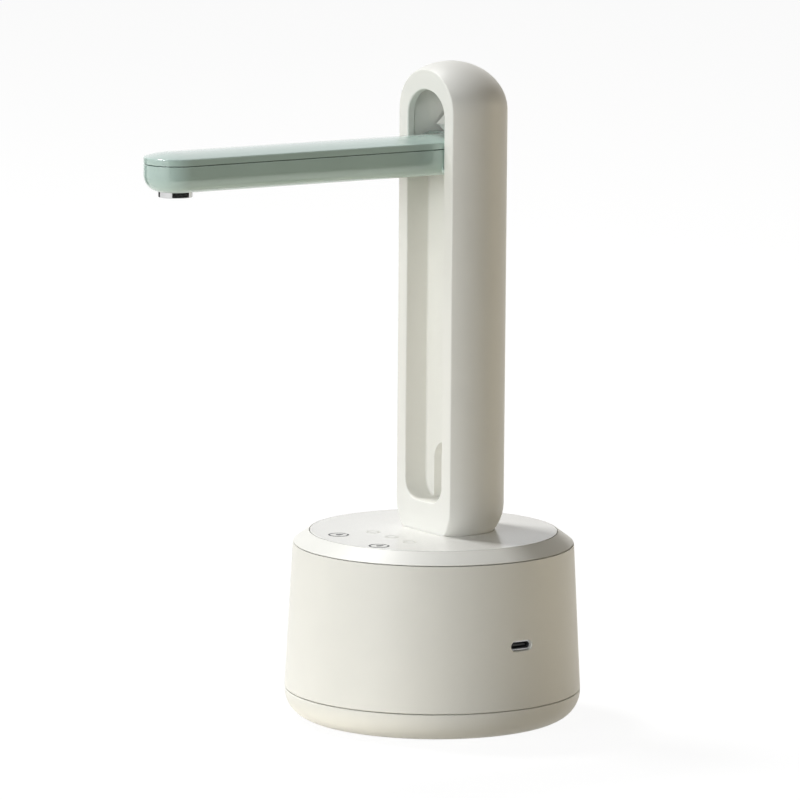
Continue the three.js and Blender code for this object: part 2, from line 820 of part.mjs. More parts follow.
// An open cradle that holds the cell by its lower half and its ends
function batteryCradle() {
  const halfLength = cradleHalfLength;
  const half = cradleHalf;
  const low = ceilingTop + fitGap;
  const block = box(
    [-halfLength, halfLength],
    [cellAside - half, cellAside + half],
    [low, cradleTop],
  );
  const bed = rodX(
    cellRadius + fitGap,
    [-halfLength + cradleWall, halfLength - cradleWall],
    cellAside,
    cellZ,
    ringSides,
  );
  const opening = box(
    [-halfLength + cradleWall, halfLength - cradleWall],
    [cellAside - half - overrun, cellAside + half + overrun],
    [cellZ, reach],
  );
  return cut(block, bed, opening);
}

// The tray that lines the pocket: its walls, before the pocket itself is cut
function trayBlock() {
  const whole = plateX(pocketOutline(trayWall), [faceX, trayBackX]);
  const head = behind(cheekFrontX).intersect(above(trayTopZ));
  const recess = plateX(recessOutline(trayWall), [pocketBackX, trayBackX + recessDepth]);
  return join(cut(whole, head), recess);
}

// Recess for the nozzle in the pocket's back wall
function recessOutline(outside) {
  const half = nozzleRadius + recessSideGap + outside;
  const nozzleZ = pivotZ - (pivotX - nozzleX);
  const low = sillZ - outside;
  return [[-half, low], [half, low], ...arc(0, nozzleZ, half, half, 0, 180, archSteps)];
}

function pocket() {
  const main = plateX(pocketOutline(0), [faceX - overrun, pocketBackX]);
  const recess = plateX(recessOutline(0), [pocketBackX - shellWall, pocketBackX + recessDepth]);
  return join(main, recess);
}

function coverOutline(outside) {
  const half = coverHalfWidth + outside;
  const low = [-half, coverLow - outside];
  return roundRect(low, [half, highDomeZ - fitGap + outside], coverCorner + outside);
}

const frameScrewPlaces = [-1, 1].map((side) => [side * frameScrewAside, frameScrewZ]);
const frameBossEnd = frameBackX - frameWall - fitGap;

// The capsule with the flat face, hollow, with the pocket's tray, the rear window and the floor
function columnShell() {
  const outer = capsule(0).intersect(behind(faceX)).intersect(above(footZ));
  const room = capsule(shellWall)
    .intersect(behind(faceX + shellWall))
    .intersect(above(footZ + floorThickness));
  const frameBosses = frameScrewPlaces.map(([y, z]) =>
    rodX(bossRadius, [trayBackX - trayWall, frameBossEnd], y, z),
  );
  const footBosses = columnScrewPlaces.map(([x, y]) =>
    rodZ(bossRadius, x, y, [footZ, footZ + columnScrewLength]),
  );
  const bossRoom = capsule(shellWall / 2);
  const solids = join(trayBlock(), ...frameBosses, ...footBosses.map((b) => b.intersect(bossRoom)));
  const window = plateX(coverOutline(0), [trayBackX + recessDepth + fitGap, reach]);
  const frameHoles = frameScrewPlaces.map(([y, z]) =>
    rodX(screwShank + slipGap, [trayBackX, reach], y, z, smallSides),
  );
  const screwHoles = columnScrewPlaces.map(([x, y]) =>
    rodZ(screwShank + slipGap, x, y, [-reach, footZ + columnScrewLength - tubeWall], smallSides),
  );
  const hoseHole = rodZ(hoseRadius + fitGap, hoseHoleX, 0, [-reach, footZ + floorThickness + fitGap]);
  return cut(outer, cut(room, solids), pocket(), window, hoseHole, ...frameHoles, ...screwHoles);
}

// The strip that closes the hose's way up the column, with a rib along each side
function rearCover() {
  const strip = plateX(coverOutline(-fitGap), [columnAxisX, reach]);
  const plate = cut(capsule(0), capsule(shellWall)).intersect(strip);
  const ribHalf = coverHalfWidth - fitGap - coverRib;
  const ribs = [-1, 1].map((side) => {
    const y0 = side * ribHalf;
    const y1 = y0 + side * coverRib;
    return box(
      [columnAxisX + columnRadius - 3 * shellWall, reach],
      [Math.min(y0, y1), Math.max(y0, y1)],
      [coverLow + coverCorner, highDomeZ - coverCorner - flangeHeight],
    );
  });
  const trimmed = join(...ribs).intersect(capsule(shellWall / 2));
  return join(plate, trimmed);
}

const headRoom = capsule(shellWall + fitGap);

// A hinge cheek on one side: side is 1 for +Y and -1 for -Y
function cheekPlate(side) {
  const span = (a, b) => (side > 0 ? [a, b] : [-b, -a]);
  const plateFrontX = cheekFrontX + fitGap;
  const plate = box([plateFrontX, frameBackX], span(cheekInner, cheekOuter), [trayTopZ + fitGap, reach]);
  const flange = box(
    [flangeFrontX, flangeFrontX + flangeThickness],
    span(flangeInner, cheekOuter),
    [flangeLowZ, flangeLowZ + flangeHeight],
  );
  const link = box([frameBackX - overrun, flangeFrontX], span(cheekInner, cheekOuter), [
    flangeLowZ,
    flangeLowZ + flangeHeight,
  ]);
  const hub = rodY(hubRadius, pivotX, span(hubInner, pocketHalf - fitGap), pivotZ, ringSides);
  const neck = rodY(hubRadius, pivotX, span(hubInner, cheekOuter), pivotZ, ringSides);
  const hubs = join(
    hub.intersect(behind(faceX + slipGap / 2)),
    neck.intersect(behind(plateFrontX)),
  );
  const socketSpan = span(hubInner - overrun, hubInner + socketDepth);
  const socket = rodY(shaftRadius + slipGap, pivotX, socketSpan, pivotZ);
  const screwHole = rodX(
    screwShank + slipGap,
    [frameBackX, reach],
    side * cheekScrewY,
    cheekScrewZ,
    smallSides,
  );
  const body = join(join(plate, flange, link).intersect(headRoom), hubs.intersect(headRoom));
  return cut(body, socket, screwHole);
}

// The +Y cheek also carries the water from the riser hose to the hinge's socket
function swivelManifold() {
  const barbTop = trayTopZ + fitGap;
  const turnLow = barbTop - shellWall;
  const pad = box(
    [barbX - bossRadius, barbX + bossRadius],
    [barbY - bossRadius, cheekOuter],
    [turnLow - shellWall, barbTop + shellWall],
  ).intersect(headRoom);
  const barb = rodZ(barbRadius, barbX, barbY, [turnLow - shellWall - barbLength, turnLow]);
  const inner = cheekOuter - fitGap - channelWidth;
  const outer = cheekOuter - fitGap;
  const upper = pivotZ + channelHeight / 2;
  const lower = pivotZ - channelHeight / 2;
  const channelFront = pivotX + shaftRadius / 2;
  const entry = box(
    [channelFront, pivotX + shaftRadius],
    [hubInner + socketDepth - fitGap, outer],
    [pivotZ - waterBore, pivotZ + waterBore],
  );
  const run = box([channelFront, barbX + waterBore], [inner, outer], [lower, upper]);
  const drop = box([barbX - waterBore, barbX + waterBore], [inner, outer], [turnLow, upper]);
  const turn = box([barbX - waterBore, barbX + waterBore], [barbY, outer], [turnLow, turnLow + waterBore]);
  const bore = rodZ(barbBore, barbX, barbY, [-reach, turnLow + waterBore / 2]);
  return cut(join(cheekPlate(1), pad, barb), entry, run, drop, turn, bore);
}

// The curved piece behind the arm's root: the scoop above it, and the room for the tail's sweep
function hingeFrame() {
  const block = box([trayBackX, frameBackX], [-scoopHalf, scoopHalf], [trayTopZ + 2 * fitGap, reach]);
  const skirtHalf = frameScrewAside + bossRadius;
  const skirt = box(
    [frameBackX - frameWall, frameBackX],
    [-skirtHalf, skirtHalf],
    [trayTopZ - frameSkirt, trayTopZ + shellWall],
  );
  const sweep = rodY(cavityRadius, pivotX, [-reach, reach], pivotZ, drumSides);
  const scoop = rodY(scoopRadius, pivotX, [-reach, reach], scoopZ, drumSides);
  const screwHoles = frameScrewPlaces.map(([y, z]) =>
    rodX(screwShank + slipGap, [-reach, reach], y, z, smallSides),
  );
  const cheekHoles = [-1, 1].map((side) =>
    rodX(
      screwShank + slipGap,
      [frameBackX - columnScrewLength + shellWall, reach],
      side * cheekScrewY,
      cheekScrewZ,
      smallSides,
    ),
  );
  const notch = box(
    [barbX - bossRadius - fitGap, reach],
    [barbY - bossRadius - fitGap, reach],
    [-reach, trayTopZ + 3 * fitGap + shellWall],
  );
  const body = join(cut(block, sweep, scoop).intersect(above(trayTopZ)), skirt).intersect(headRoom);
  return cut(body, notch, ...screwHoles, ...cheekHoles);
}

const washerSpan = (side) => {
  const inner = earOuter + slipGap / 2;
  const outer = inner + washerThickness;
  return side > 0 ? [inner, outer] : [-outer, -inner];
};

function washer(side) {
  const disc = rodY(hubRadius, pivotX, washerSpan(side), pivotZ);
  return cut(disc, rodY(shaftRadius + slipGap, pivotX, [-reach, reach], pivotZ));
}

// Half section of the arm's body, from the middle of its underside to the middle of its top
const bodyProfile = (inside, topZ) => [
  [0, underZ + inside],
  ...arc(
    armHalf - lowerRound,
    underZ + lowerRound,
    lowerRound - inside,
    lowerRound - inside,
    -90,
    0,
  ),
  [armHalf - inside, topZ],
  [0, topZ],
];

// Half section of the crowned cover
function coverProfile(side, lowZ, edgeZ, middleZ) {
  const rise = middleZ - edgeZ;
  const radius = (side * side + rise * rise) / (2 * rise);
  const sweep = THREE.MathUtils.radToDeg(Math.asin(side / radius));
  const crown = arc(0, middleZ - radius, radius, radius, 90 - sweep, 90);
  crown[crown.length - 1][0] = 0;
  return [[0, lowZ], [side, lowZ], ...crown];
}

const nozzleHole = rodZ(nozzleRadius + fitGap, nozzleX, 0, [-reach, underZ + armBodyHeight / 2], ringSides);

function armBody() {
  const form = armForm(bodyProfile(0, armSeamZ), pivotX);
  const root = armRoot().intersect(below(armSeamZ));
  const hollow = armForm(bodyProfile(armWall, armSeamZ + overrun), hollowEndX);
  const nest = box(
    [hollowEndX - overrun, pivotX + earInner],
    [-earInner, earInner],
    [pivotZ - waterBore - tubeWall - fitGap, reach],
  );
  const bore = rodY(shaftRadius + slipGap / 2, pivotX, [-reach, reach], pivotZ);
  const reliefs = [-1, 1].map((side) => {
    const span = side > 0 ? [earOuter, reach] : [-reach, -earOuter];
    return rodY(hubRadius + fitGap, pivotX, span, pivotZ, ringSides);
  });
  return cut(join(form, root), hollow, nest, bore, nozzleHole, ...reliefs);
}

function armCover() {
  const lowZ = armSeamZ + seamGap;
  const form = armForm(coverProfile(armHalf, lowZ, creaseZ, armTopZ), pivotX + knuckleRadius);
  const root = armRoot().intersect(above(lowZ));
  const underside = armForm(
    coverProfile(armHalf - armWall, lowZ - overrun, creaseZ - armWall / 2, armTopZ - armWall),
    hollowEndX,
  );
  const rimOuter = armHalf - armWall - fitGap;
  const rimLow = lowZ - rimDepth;
  const rimTop = creaseZ - armWall / 3;
  const rimForm = (half) =>
    armForm(
      [
        [0, rimLow],
        [half, rimLow],
        [half, rimTop],
        [0, rimTop],
      ],
      hollowEndX - fitGap,
    );
  const rim = cut(rimForm(rimOuter), rimForm(rimOuter - rimWall));
  return join(cut(join(form, root), underside), rim);
}

// The elbow between the hinge's water spigot and the tube in the arm
function armElbow() {
  const half = earInner - fitGap;
  const block = box(
    [pivotX - half, pivotX + half],
    [-half, half],
    [pivotZ - waterBore - tubeWall, elbowZ + waterBore + tubeWall],
  );
  const barb = rodX(barbRadius, [pivotX - half - barbLength, pivotX], 0, elbowZ);
  const inlet = rodY(waterBore, pivotX, [-waterBore, reach], pivotZ);
  const outlet = rodX(barbBore, [-reach, pivotX + waterBore], 0, elbowZ);
  return cut(join(block, barb), inlet, outlet);
}

function armTube() {
  const near = pivotX - earInner;
  const far = nozzleX + nozzleBodyRadius + fitGap;
  const outer = rodX(hoseRadius - fitGap, [far, near], 0, elbowZ);
  return cut(outer, rodX(tubeBore, [far - overrun, near + overrun], 0, elbowZ));
}

function nozzleBody() {
  const top = armSeamZ - fitGap;
  const can = rodZ(nozzleBodyRadius, nozzleX, 0, [nozzleBodyLow, top], ringSides);
  const barb = rodX(barbRadius, [nozzleX, nozzleX + nozzleBodyRadius + barbLength], 0, elbowZ);
  const chamberSpan = [-reach, elbowZ + waterBore - fitGap];
  const chamber = rodZ(nozzleRadius - nozzleWall, nozzleX, 0, chamberSpan, ringSides);
  const inlet = rodX(barbBore, [nozzleX, reach], 0, elbowZ);
  return cut(join(can, barb), chamber, inlet);
}

const nozzleLow = underZ - nozzleProud;

function nozzleRing() {
  const flangeLow = underZ + armWall + fitGap;
  return revolve(
    [
      [nozzleRadius - nozzleWall, nozzleLow],
      [nozzleRadius - fitGap, nozzleLow],
      [nozzleRadius, nozzleLow + fitGap],
      [nozzleRadius, flangeLow],
      [nozzleBodyRadius, flangeLow],
      [nozzleBodyRadius, flangeLow + nozzleWall],
      [nozzleRadius - nozzleWall, flangeLow + nozzleWall],
    ],
    ringSides,
    nozzleX,
    0,
  );
}

function aerator() {
  const radius = nozzleRadius - nozzleWall - fitGap;
  const disc = rodZ(radius, nozzleX, 0, [nozzleLow + nozzleWall, nozzleLow + 3 * nozzleWall], ringSides);
  const places = [[0, 0], ...placesOnCircle(meshHoleCount, radius * meshRowShare)];
  const holes = places.map(([x, y]) => rodZ(meshHole, nozzleX + x, y, [-reach, reach], smallSides));
  return cut(disc, ...holes);
}

// The hollow pin on the +Y side, through which the water enters the arm
function waterSpigot() {
  const end = hubInner + socketDepth - 2 * fitGap;
  const pin = rodY(shaftRadius, pivotX, [earInner, end], pivotZ);
  const bore = rodY(waterBore, pivotX, [-reach, reach], pivotZ);
  const middle = (hubInner + end) / 2;
  const groove = cut(
    rodY(shaftRadius + overrun, pivotX, [middle - sealBead, middle + sealBead], pivotZ),
    rodY(shaftRadius - sealBead, pivotX, [-reach, reach], pivotZ),
  );
  return cut(pin, bore, groove);
}

function spigotSeal() {
  const end = hubInner + socketDepth - 2 * fitGap;
  const middle = (hubInner + end) / 2;
  const bead = sealBead - slipGap / 2;
  const ringRadius = shaftRadius - sealBead + slipGap / 2 + bead / 2;
  const ring = new THREE.TorusGeometry(ringRadius, bead / 2, smallSides, rodSides);
  return solid(ring.rotateX(Math.PI / 2).translate(pivotX, middle, pivotZ));
}

function hingePin() {
  const end = hubInner + socketDepth - 2 * fitGap;
  return rodY(shaftRadius, pivotX, [-end, -earInner], pivotZ);
}

// The hose from the pump, up through the column's floor and behind the pocket, to the hinge
function riserHose() {
  const startX = pumpRadius + fitGap;
  const bendX = pumpRadius + outletLength + 2 * hoseRadius;
  const topZ = trayTopZ + fitGap - 2 * shellWall - fitGap;
  const risesZ = deckLow - 3 * hoseRadius;
  const liftZ = (outletZ + risesZ) / 2;
  const route = [
    [startX, 0, outletZ],
    [startX + outletLength, 0, outletZ],
    [bendX, 0, outletZ + hoseRadius],
    [bendX + hoseRadius / 2, 0, liftZ],
    [hoseHoleX, 0, risesZ],
    [hoseHoleX, 0, deckTop],
    [hoseHoleX, 0, sillZ + hoseRadius],
    [barbX + hoseRadius / 2, barbY / 3, (sillZ + topZ) / 2],
    [barbX, barbY, topZ - 3 * barbLength],
    [barbX, barbY, topZ],
  ];
  const points = route.map((place) => new THREE.Vector3(...place));
  const path = new THREE.CatmullRomCurve3(points, false, "centripetal");
  const section = new THREE.Shape().absarc(0, 0, hoseRadius, 0, 2 * Math.PI);
  section.holes.push(new THREE.Path().absarc(0, 0, tubeBore, 0, 2 * Math.PI, true));
  return solid(
    new THREE.ExtrudeGeometry(section, {
      steps: hoseSteps,
      curveSegments: hoseSides,
      extrudePath: path,
      bevelEnabled: false,
    }),
  );
}

function addDrum() {
  piece("foot_ring", footRing(), darkRubber());
  piece("bottom_shell", bottomShell(), shellWhite());
  piece("base_shell", baseShell(), shellWhite());
  piece("top_cover", topCover(), shellWhite());
  piece("top_panel", topPanel(), panelWhite());
  piece("touch_board", touchBoard(), boardGreen());
  piece("main_board", mainBoard(), boardGreen());
  piece("usb_receptacle", usbReceptacle(), steel());
  piece("battery_cell", batteryCell(), cellBlue());
  piece("battery_cradle", batteryCradle(), darkPlastic());
  piece("neck_seal", neckSeal(), silicone());
  bottomScrewPlaces.forEach(([x, y], i) => {
    const screw = piece(`bottom_screw_${i + 1}`, screwBody(bottomScrewLength), steel());
    screw.rotation.x = Math.PI;
    screw.position.set(x, y, bottomScrewHeadZ);
  });
  boardPostPlaces.forEach(([x, y], i) => {
    const screw = piece(`board_screw_${i + 1}`, screwBody(boardScrewLength), steel());
    screw.position.set(x, y, boardTop + fitGap);
  });
}

function addPump() {
  piece("inlet_fitting", inletFitting(), innerWhite());
  const gasket = ringZ(inletRadius + fitGap, fittingRadius, [gasketTop - gasketThickness, gasketTop]);
  piece("inlet_gasket", gasket, silicone());
  piece("pump_housing", pumpHousing(), innerWhite());
  piece("pump_cover", pumpCover(), innerWhite());
  piece("shaft_seal", shaftSeal(), darkRubber());
  piece("motor", motor(), steel());
  piece("motor_shaft", motorShaft(), steel());
  piece("impeller", impeller(), darkPlastic());
  pumpScrewPlaces.forEach(([x, y], i) => {
    const screw = piece(`pump_screw_${i + 1}`, screwBody(pumpScrewLength), steel());
    screw.position.set(x, y, pumpCoverTop + fitGap);
  });
  piece("riser_hose", riserHose(), hoseClear());
}

function addColumn() {
  piece("column_shell", columnShell(), shellWhite());
  piece("rear_cover", rearCover(), shellWhite());
  const footScrewLength = columnScrewLength + deckThickness - shellWall;
  columnScrewPlaces.forEach(([x, y], i) => {
    const screw = piece(`column_screw_${i + 1}`, screwBody(footScrewLength), steel());
    screw.rotation.x = Math.PI;
    screw.position.set(x, y, deckLow - fitGap);
  });
  piece("swivel_manifold", swivelManifold(), innerWhite());
  piece("hinge_cheek", cheekPlate(-1), innerWhite());
  piece("hinge_frame", hingeFrame(), shellWhite());
  piece("hinge_washer_left", washer(1), darkPlastic());
  piece("hinge_washer_right", washer(-1), darkPlastic());
  [-1, 1].forEach((side) => {
    const sideName = side > 0 ? "left" : "right";
    const cheekScrew = piece(`cheek_screw_${sideName}`, screwBody(columnScrewLength - shellWall), steel());
    cheekScrew.rotation.y = Math.PI / 2;
    cheekScrew.position.set(flangeFrontX + flangeThickness + fitGap, side * cheekScrewY, cheekScrewZ);
    const frameScrew = piece(`frame_screw_${sideName}`, screwBody(columnScrewLength), steel());
    frameScrew.rotation.y = Math.PI / 2;
    frameScrew.position.set(frameBackX + fitGap, side * frameScrewAside, frameScrewZ);
  });
}

function addArm() {
  piece("arm_body", armBody(), mint());
  piece("arm_cover", armCover(), mint());
  piece("water_spigot", waterSpigot(), steel());
  piece("spigot_seal", spigotSeal(), darkRubber());
  piece("hinge_pin", hingePin(), steel());
  piece("arm_elbow", armElbow(), innerWhite());
  piece("arm_tube", armTube(), hoseClear());
  piece("nozzle_body", nozzleBody(), innerWhite());
  piece("nozzle_ring", nozzleRing(), steel());
  piece("aerator", aerator(), darkPlastic());
}

addDrum();
addPump();
addColumn();
addArm();

// The origin is the middle of the whole pump's plan, on the surface that it stands on.
pump.position.x = -(nozzleX - armHalf + seamRadius) / 2;

export default pump;
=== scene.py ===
import json
import math

import bmesh
import bpy
from mathutils import Matrix, Quaternion, Vector


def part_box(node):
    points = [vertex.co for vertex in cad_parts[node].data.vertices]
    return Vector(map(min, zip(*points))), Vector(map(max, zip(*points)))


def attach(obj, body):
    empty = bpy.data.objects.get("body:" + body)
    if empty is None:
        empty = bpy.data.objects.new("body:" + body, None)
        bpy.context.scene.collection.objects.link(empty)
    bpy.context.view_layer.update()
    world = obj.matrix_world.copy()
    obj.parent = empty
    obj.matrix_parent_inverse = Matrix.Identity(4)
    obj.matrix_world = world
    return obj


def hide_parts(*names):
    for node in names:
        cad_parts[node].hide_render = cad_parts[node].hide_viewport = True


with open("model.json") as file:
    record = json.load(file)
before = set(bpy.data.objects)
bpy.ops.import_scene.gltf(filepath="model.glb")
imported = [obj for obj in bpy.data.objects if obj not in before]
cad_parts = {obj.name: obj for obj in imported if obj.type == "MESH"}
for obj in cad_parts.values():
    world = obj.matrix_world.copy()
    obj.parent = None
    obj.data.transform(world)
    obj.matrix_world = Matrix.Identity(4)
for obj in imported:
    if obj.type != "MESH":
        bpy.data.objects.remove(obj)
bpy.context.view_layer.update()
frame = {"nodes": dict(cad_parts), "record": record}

# Shapes are drawn in millimetres about the drum's axis, which stands beside the frame's origin.
MM = 0.001
AXIS = Vector((sum(corner.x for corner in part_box("bottom_shell")) / 2, 0, 0))


def corners(node):
    """The lowest and highest corner of a node, in millimetres about the drum's axis."""
    low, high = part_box(node)
    return (low - AXIS) / MM, (high - AXIS) / MM


# Smoothness
ROUND_SIDES = 192
SMALL_SIDES = 64
HOLE_SIDES = 24
TURN_STEP = 9  # degrees from one point of a fillet to the next
FEWEST_STEPS = 3
ARC_STEPS = 48
CORNER_STEPS = 24
CROWN_STEPS = 12
EDGE_STEPS = 8
FLARE_STEPS = 6
STRAIGHT_ROWS = 24
SHARP = math.radians(32)
MERGE = 1e-4
FAR = 400  # past every piece, for cuts that go right through

# Walls and clearances
GAP = 0.3
SLIP = 0.2
WALL = 2.2
SOFT_EDGE = 0.35
FINE_EDGE = 0.2
THIN_EDGE = 0.1

# Drum
shell_low, shell_high = corners("bottom_shell")
wall_low, wall_high = corners("base_shell")
cover_low, cover_high = corners("top_cover")
panel_low, panel_high = corners("top_panel")
ring_low, ring_high = corners("foot_ring")
seal_low, seal_high = corners("neck_seal")
fitting_low, fitting_high = corners("inlet_fitting")
screw_low, screw_high = corners("bottom_screw_1")
SEAM_RADIUS = shell_high.y
SEAM_Z = wall_low.z
RIM_RADIUS = cover_high.y
RIM_DROP = 1  # the photograph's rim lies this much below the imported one
RIM_Z = wall_high.z + GAP - RIM_DROP
DECK_Z = cover_high.z
PANEL_RADIUS = panel_high.y
FOOT_Z = panel_low.z
DECK_TOP = FOOT_Z - GAP
WELL_RADIUS = seal_high.y + GAP
WELL_TOP = seal_high.z + GAP
CEILING_Z = WELL_TOP + WALL
HEEL_RADIUS = 10
LIP_HEIGHT = 3
RING_WIDTH = 6.5
SEAL_WIDTH = 7
BEAD_FOOT_HALF = 1.5
BEAD_TOP_HALF = 1
INLET_RADIUS = 6.3
INLET_BORE = 4
INLET_WALL = 0.8
BARB_HEIGHT = 2
FITTING_HEIGHT = 2.2
BOTTOM_SCREWS = 4
BOTTOM_SCREW_INSET = 11.2
SCREW_SHANK = 1.3
SCREW_HEAD = 2.6
SCREW_HEAD_HEIGHT = 1.8
SCREW_SLOT_HALF = SCREW_SHANK / 4
BOSS_RADIUS = 3.4
BOSS_TOP_GAP = 1
COUNTERBORE_Z = screw_low.z + SCREW_HEAD_HEIGHT + GAP

# Charging socket
usb_low, usb_high = corners("usb_receptacle")
PORT_X = (usb_low.x + usb_high.x) / 2
PORT_Z = (usb_low.z + usb_high.z) / 2
PORT_SHEET = 0.35
PORT_FLARE = 0.3
PORT_CORNER_SHARE = 0.98
PORT_BACK_WALL = 3 * PORT_SHEET
# gap round the dark sheet of painted shade inside the socket
PAINTED_SHADE_GAP = 0.02
TONGUE_HALF_SHARE = 1 / 3
TONGUE_SET_BACK = 1.2

# Touch marks
MARK_DEPTH = 0.2
MARK_PROUD = 0.04
MARKS_ASIDE = -4.8
DARK_MARK_X = -35.5
DARK_MARK_STEP = 13.4
DARK_MARK_RADIUS = 3.8
DARK_LINE = 0.7
DROP_RADIUS = 1.1
DROP_TURN = 60  # degrees from the drop's point to where its round side starts
FAINT_MARKS = 3
FAINT_MARK_X = -21.5
FAINT_MARK_STEP = 12
FAINT_MARK_RADIUS = 2.6
FAINT_LINE = 0.7

# Column
column_low, column_high = corners("column_shell")
back_low, back_high = corners("rear_cover")
COLUMN_RADIUS = column_high.y
COLUMN_X = column_high.x - COLUMN_RADIUS
FACE_X = column_low.x
COLUMN_TOP = column_high.z
DOME_RISE = 17.7
LOW_DOME_HEIGHT = 9.8
LOW_DOME_Z = DECK_Z + LOW_DOME_HEIGHT
HIGH_DOME_Z = COLUMN_TOP - DOME_RISE
DOME_SHARE = DOME_RISE / COLUMN_RADIUS
FACE_EDGE = 0.8
FLOOR_THICKNESS = 3
HOSE_HOLE_BACK = 11.4
HOSE_RADIUS = 3.2
COVER_CORNER = 4

# Hinge and arm
frame_high = corners("hinge_frame")[1]
cheek_low = corners("hinge_cheek")[0]
manifold_low = corners("swivel_manifold")[0]
pin_low, pin_high = corners("hinge_pin")
arm_low, arm_high = corners("arm_body")
lid_high = corners("arm_cover")[1]
nozzle_low, nozzle_high = corners("nozzle_ring")
mesh_low, mesh_high = corners("aerator")
PIVOT_X = (pin_low.x + pin_high.x) / 2
PIVOT_Z = (pin_low.z + pin_high.z) / 2
SHAFT_RADIUS = (pin_high.z - pin_low.z) / 2
ARM_HALF = arm_high.y
ARM_SEAM_Z = arm_high.z
ARM_TOP_Z = lid_high.z
CROWN_RISE = 1.7
CREASE_Z = ARM_TOP_Z - CROWN_RISE
CREASE_ROUND = 0.5
ARM_BODY_HEIGHT = 9.8
UNDER_Z = ARM_SEAM_Z - ARM_BODY_HEIGHT
NOZZLE_X = arm_low.x + ARM_HALF
KNUCKLE_RADIUS = PIVOT_Z - arm_low.z
LOWER_ROUND = 6
ARM_WALL = 1.8
RIM_DEPTH = 1.5
RIM_WALL = 1.2
TAIL_BACK_X = arm_high.x
TAIL_DROP = 1
TAIL_LOW_Z = PIVOT_Z - TAIL_DROP
TAIL_CORNER = 2.5
EAR_OUTER = 6.35
EAR_INNER = 3.4
CHEEK_THICKNESS = 3.1
CHEEK_OUTER = -cheek_low.y
CHEEK_INNER = CHEEK_OUTER - CHEEK_THICKNESS
CHEEK_SET_BACK = 2.8
CHEEK_FRONT_X = FACE_X + CHEEK_SET_BACK
FLANGE_HEIGHT = 9
FLANGE_THICKNESS = 2
FLANGE_INNER = 4.5
LINK_LENGTH = 4
HUB_RADIUS = 3.1
HUB_LENGTH = 5.2
HUB_INNER = CHEEK_INNER - HUB_LENGTH
SOCKET_DEPTH = 3.9
SOCKET_OVERRUN = 4
BARB_RADIUS = 2.1
WATER_BORE = 1.1
WATER_WALL = 0.8
FRAME_BACK_X = frame_high.x
SCOOP_HALF = frame_high.y
TRAY_TOP_Z = cheek_low.z - GAP
CAVITY_GAP = 0.6
SCOOP_SHARE = 0.533
SCOOP_RADIUS = (COLUMN_TOP - ARM_TOP_Z - CAVITY_GAP) * SCOOP_SHARE
SCOOP_Z = ARM_TOP_Z + CAVITY_GAP + SCOOP_RADIUS
TAIL_REACH = math.hypot(TAIL_BACK_X - PIVOT_X - TAIL_CORNER, ARM_TOP_Z - PIVOT_Z - TAIL_CORNER)
CAVITY_RADIUS = TAIL_REACH + TAIL_CORNER + CAVITY_GAP

# Pocket that the arm folds into
POCKET_SIDE_GAP = 0.55
POCKET_BACK_GAP = 0.4
POCKET_TOP_DROP = 9.9
SILL_HEIGHT = 11
POCKET_HALF = ARM_HALF + POCKET_SIDE_GAP
SILL_Z = DECK_Z + SILL_HEIGHT
POCKET_TOP_Z = COLUMN_TOP - POCKET_TOP_DROP
ARCH_RISE = 9.5
POCKET_CORNER = 7
POCKET_BACK_X = PIVOT_X + PIVOT_Z - UNDER_Z + POCKET_BACK_GAP
POCKET_EDGE = 0.6
POCKET_FILLET = 0.8
TRAY_WALL = 1.8
TRAY_BACK_X = POCKET_BACK_X + TRAY_WALL
RECESS_DEPTH = 3.2
NOZZLE_RADIUS = 6.2
NOZZLE_WALL = 1.2
RECESS_SIDE_GAP = 0.6
RECESS_HALF = NOZZLE_RADIUS + RECESS_SIDE_GAP
FOLDED_NOZZLE_Z = PIVOT_Z - (PIVOT_X - NOZZLE_X)
AERATOR_HOLE = 0.45
AERATOR_RINGS = ((6, 0.4), (12, 0.75))  # how many holes, and their circle's share of the radius


# Lines


def arc(centre, radii, start, end, steps=ARC_STEPS):
    """Points of an arc round a centre, with its angles in degrees."""
    made = []
    for i in range(steps + 1):
        angle = math.radians(start + (end - start) * i / steps)
        a = centre[0] + radii[0] * math.cos(angle)
        b = centre[1] + radii[1] * math.sin(angle)
        made.append((a, b))
    return made


def circle(radius, sides, centre=(0, 0)):
    return arc(centre, (radius, radius), 0, 360 - 360 / sides, sides - 1)


def rounded(line):
    """A closed line through corners (a, b) or (a, b, radius), with a fillet of each given radius."""
    made = []
    for i, (a, b, *radius) in enumerate(line):
        if not radius:
            made.append((a, b))
            continue
        here = Vector((a, b))
        before = (Vector(line[i - 1][:2]) - here).normalized()
        after = (Vector(line[(i + 1) % len(line)][:2]) - here).normalized()
        half = before.angle(after) / 2
        centre = here + (before + after).normalized() * radius[0] / math.sin(half)
        first = here + before * radius[0] / math.tan(half) - centre
        last = here + after * radius[0] / math.tan(half) - centre
        start = math.degrees(math.atan2(first.y, first.x))
        turn = (math.degrees(math.atan2(last.y, last.x)) - start + 180) % 360 - 180
        steps = max(FEWEST_STEPS, round(abs(turn) / TURN_STEP))
        made += arc(centre, (radius[0], radius[0]), start, start + turn, steps)
    return made


def round_rectangle(low, high, corner):
    (a0, b0), (a1, b1) = low, high
    return rounded([(a0, b0, corner), (a1, b0, corner), (a1, b1, corner), (a0, b1, corner)])


def on_circle(count, radius, offset=0.5):
    """Places on a circle round the vertical axis, the first one a share of a step from +X."""
    turns = [(i + offset) / count * 2 * math.pi for i in range(count)]
    return [(radius * math.cos(turn), radius * math.sin(turn)) for turn in turns]


# Closed shapes


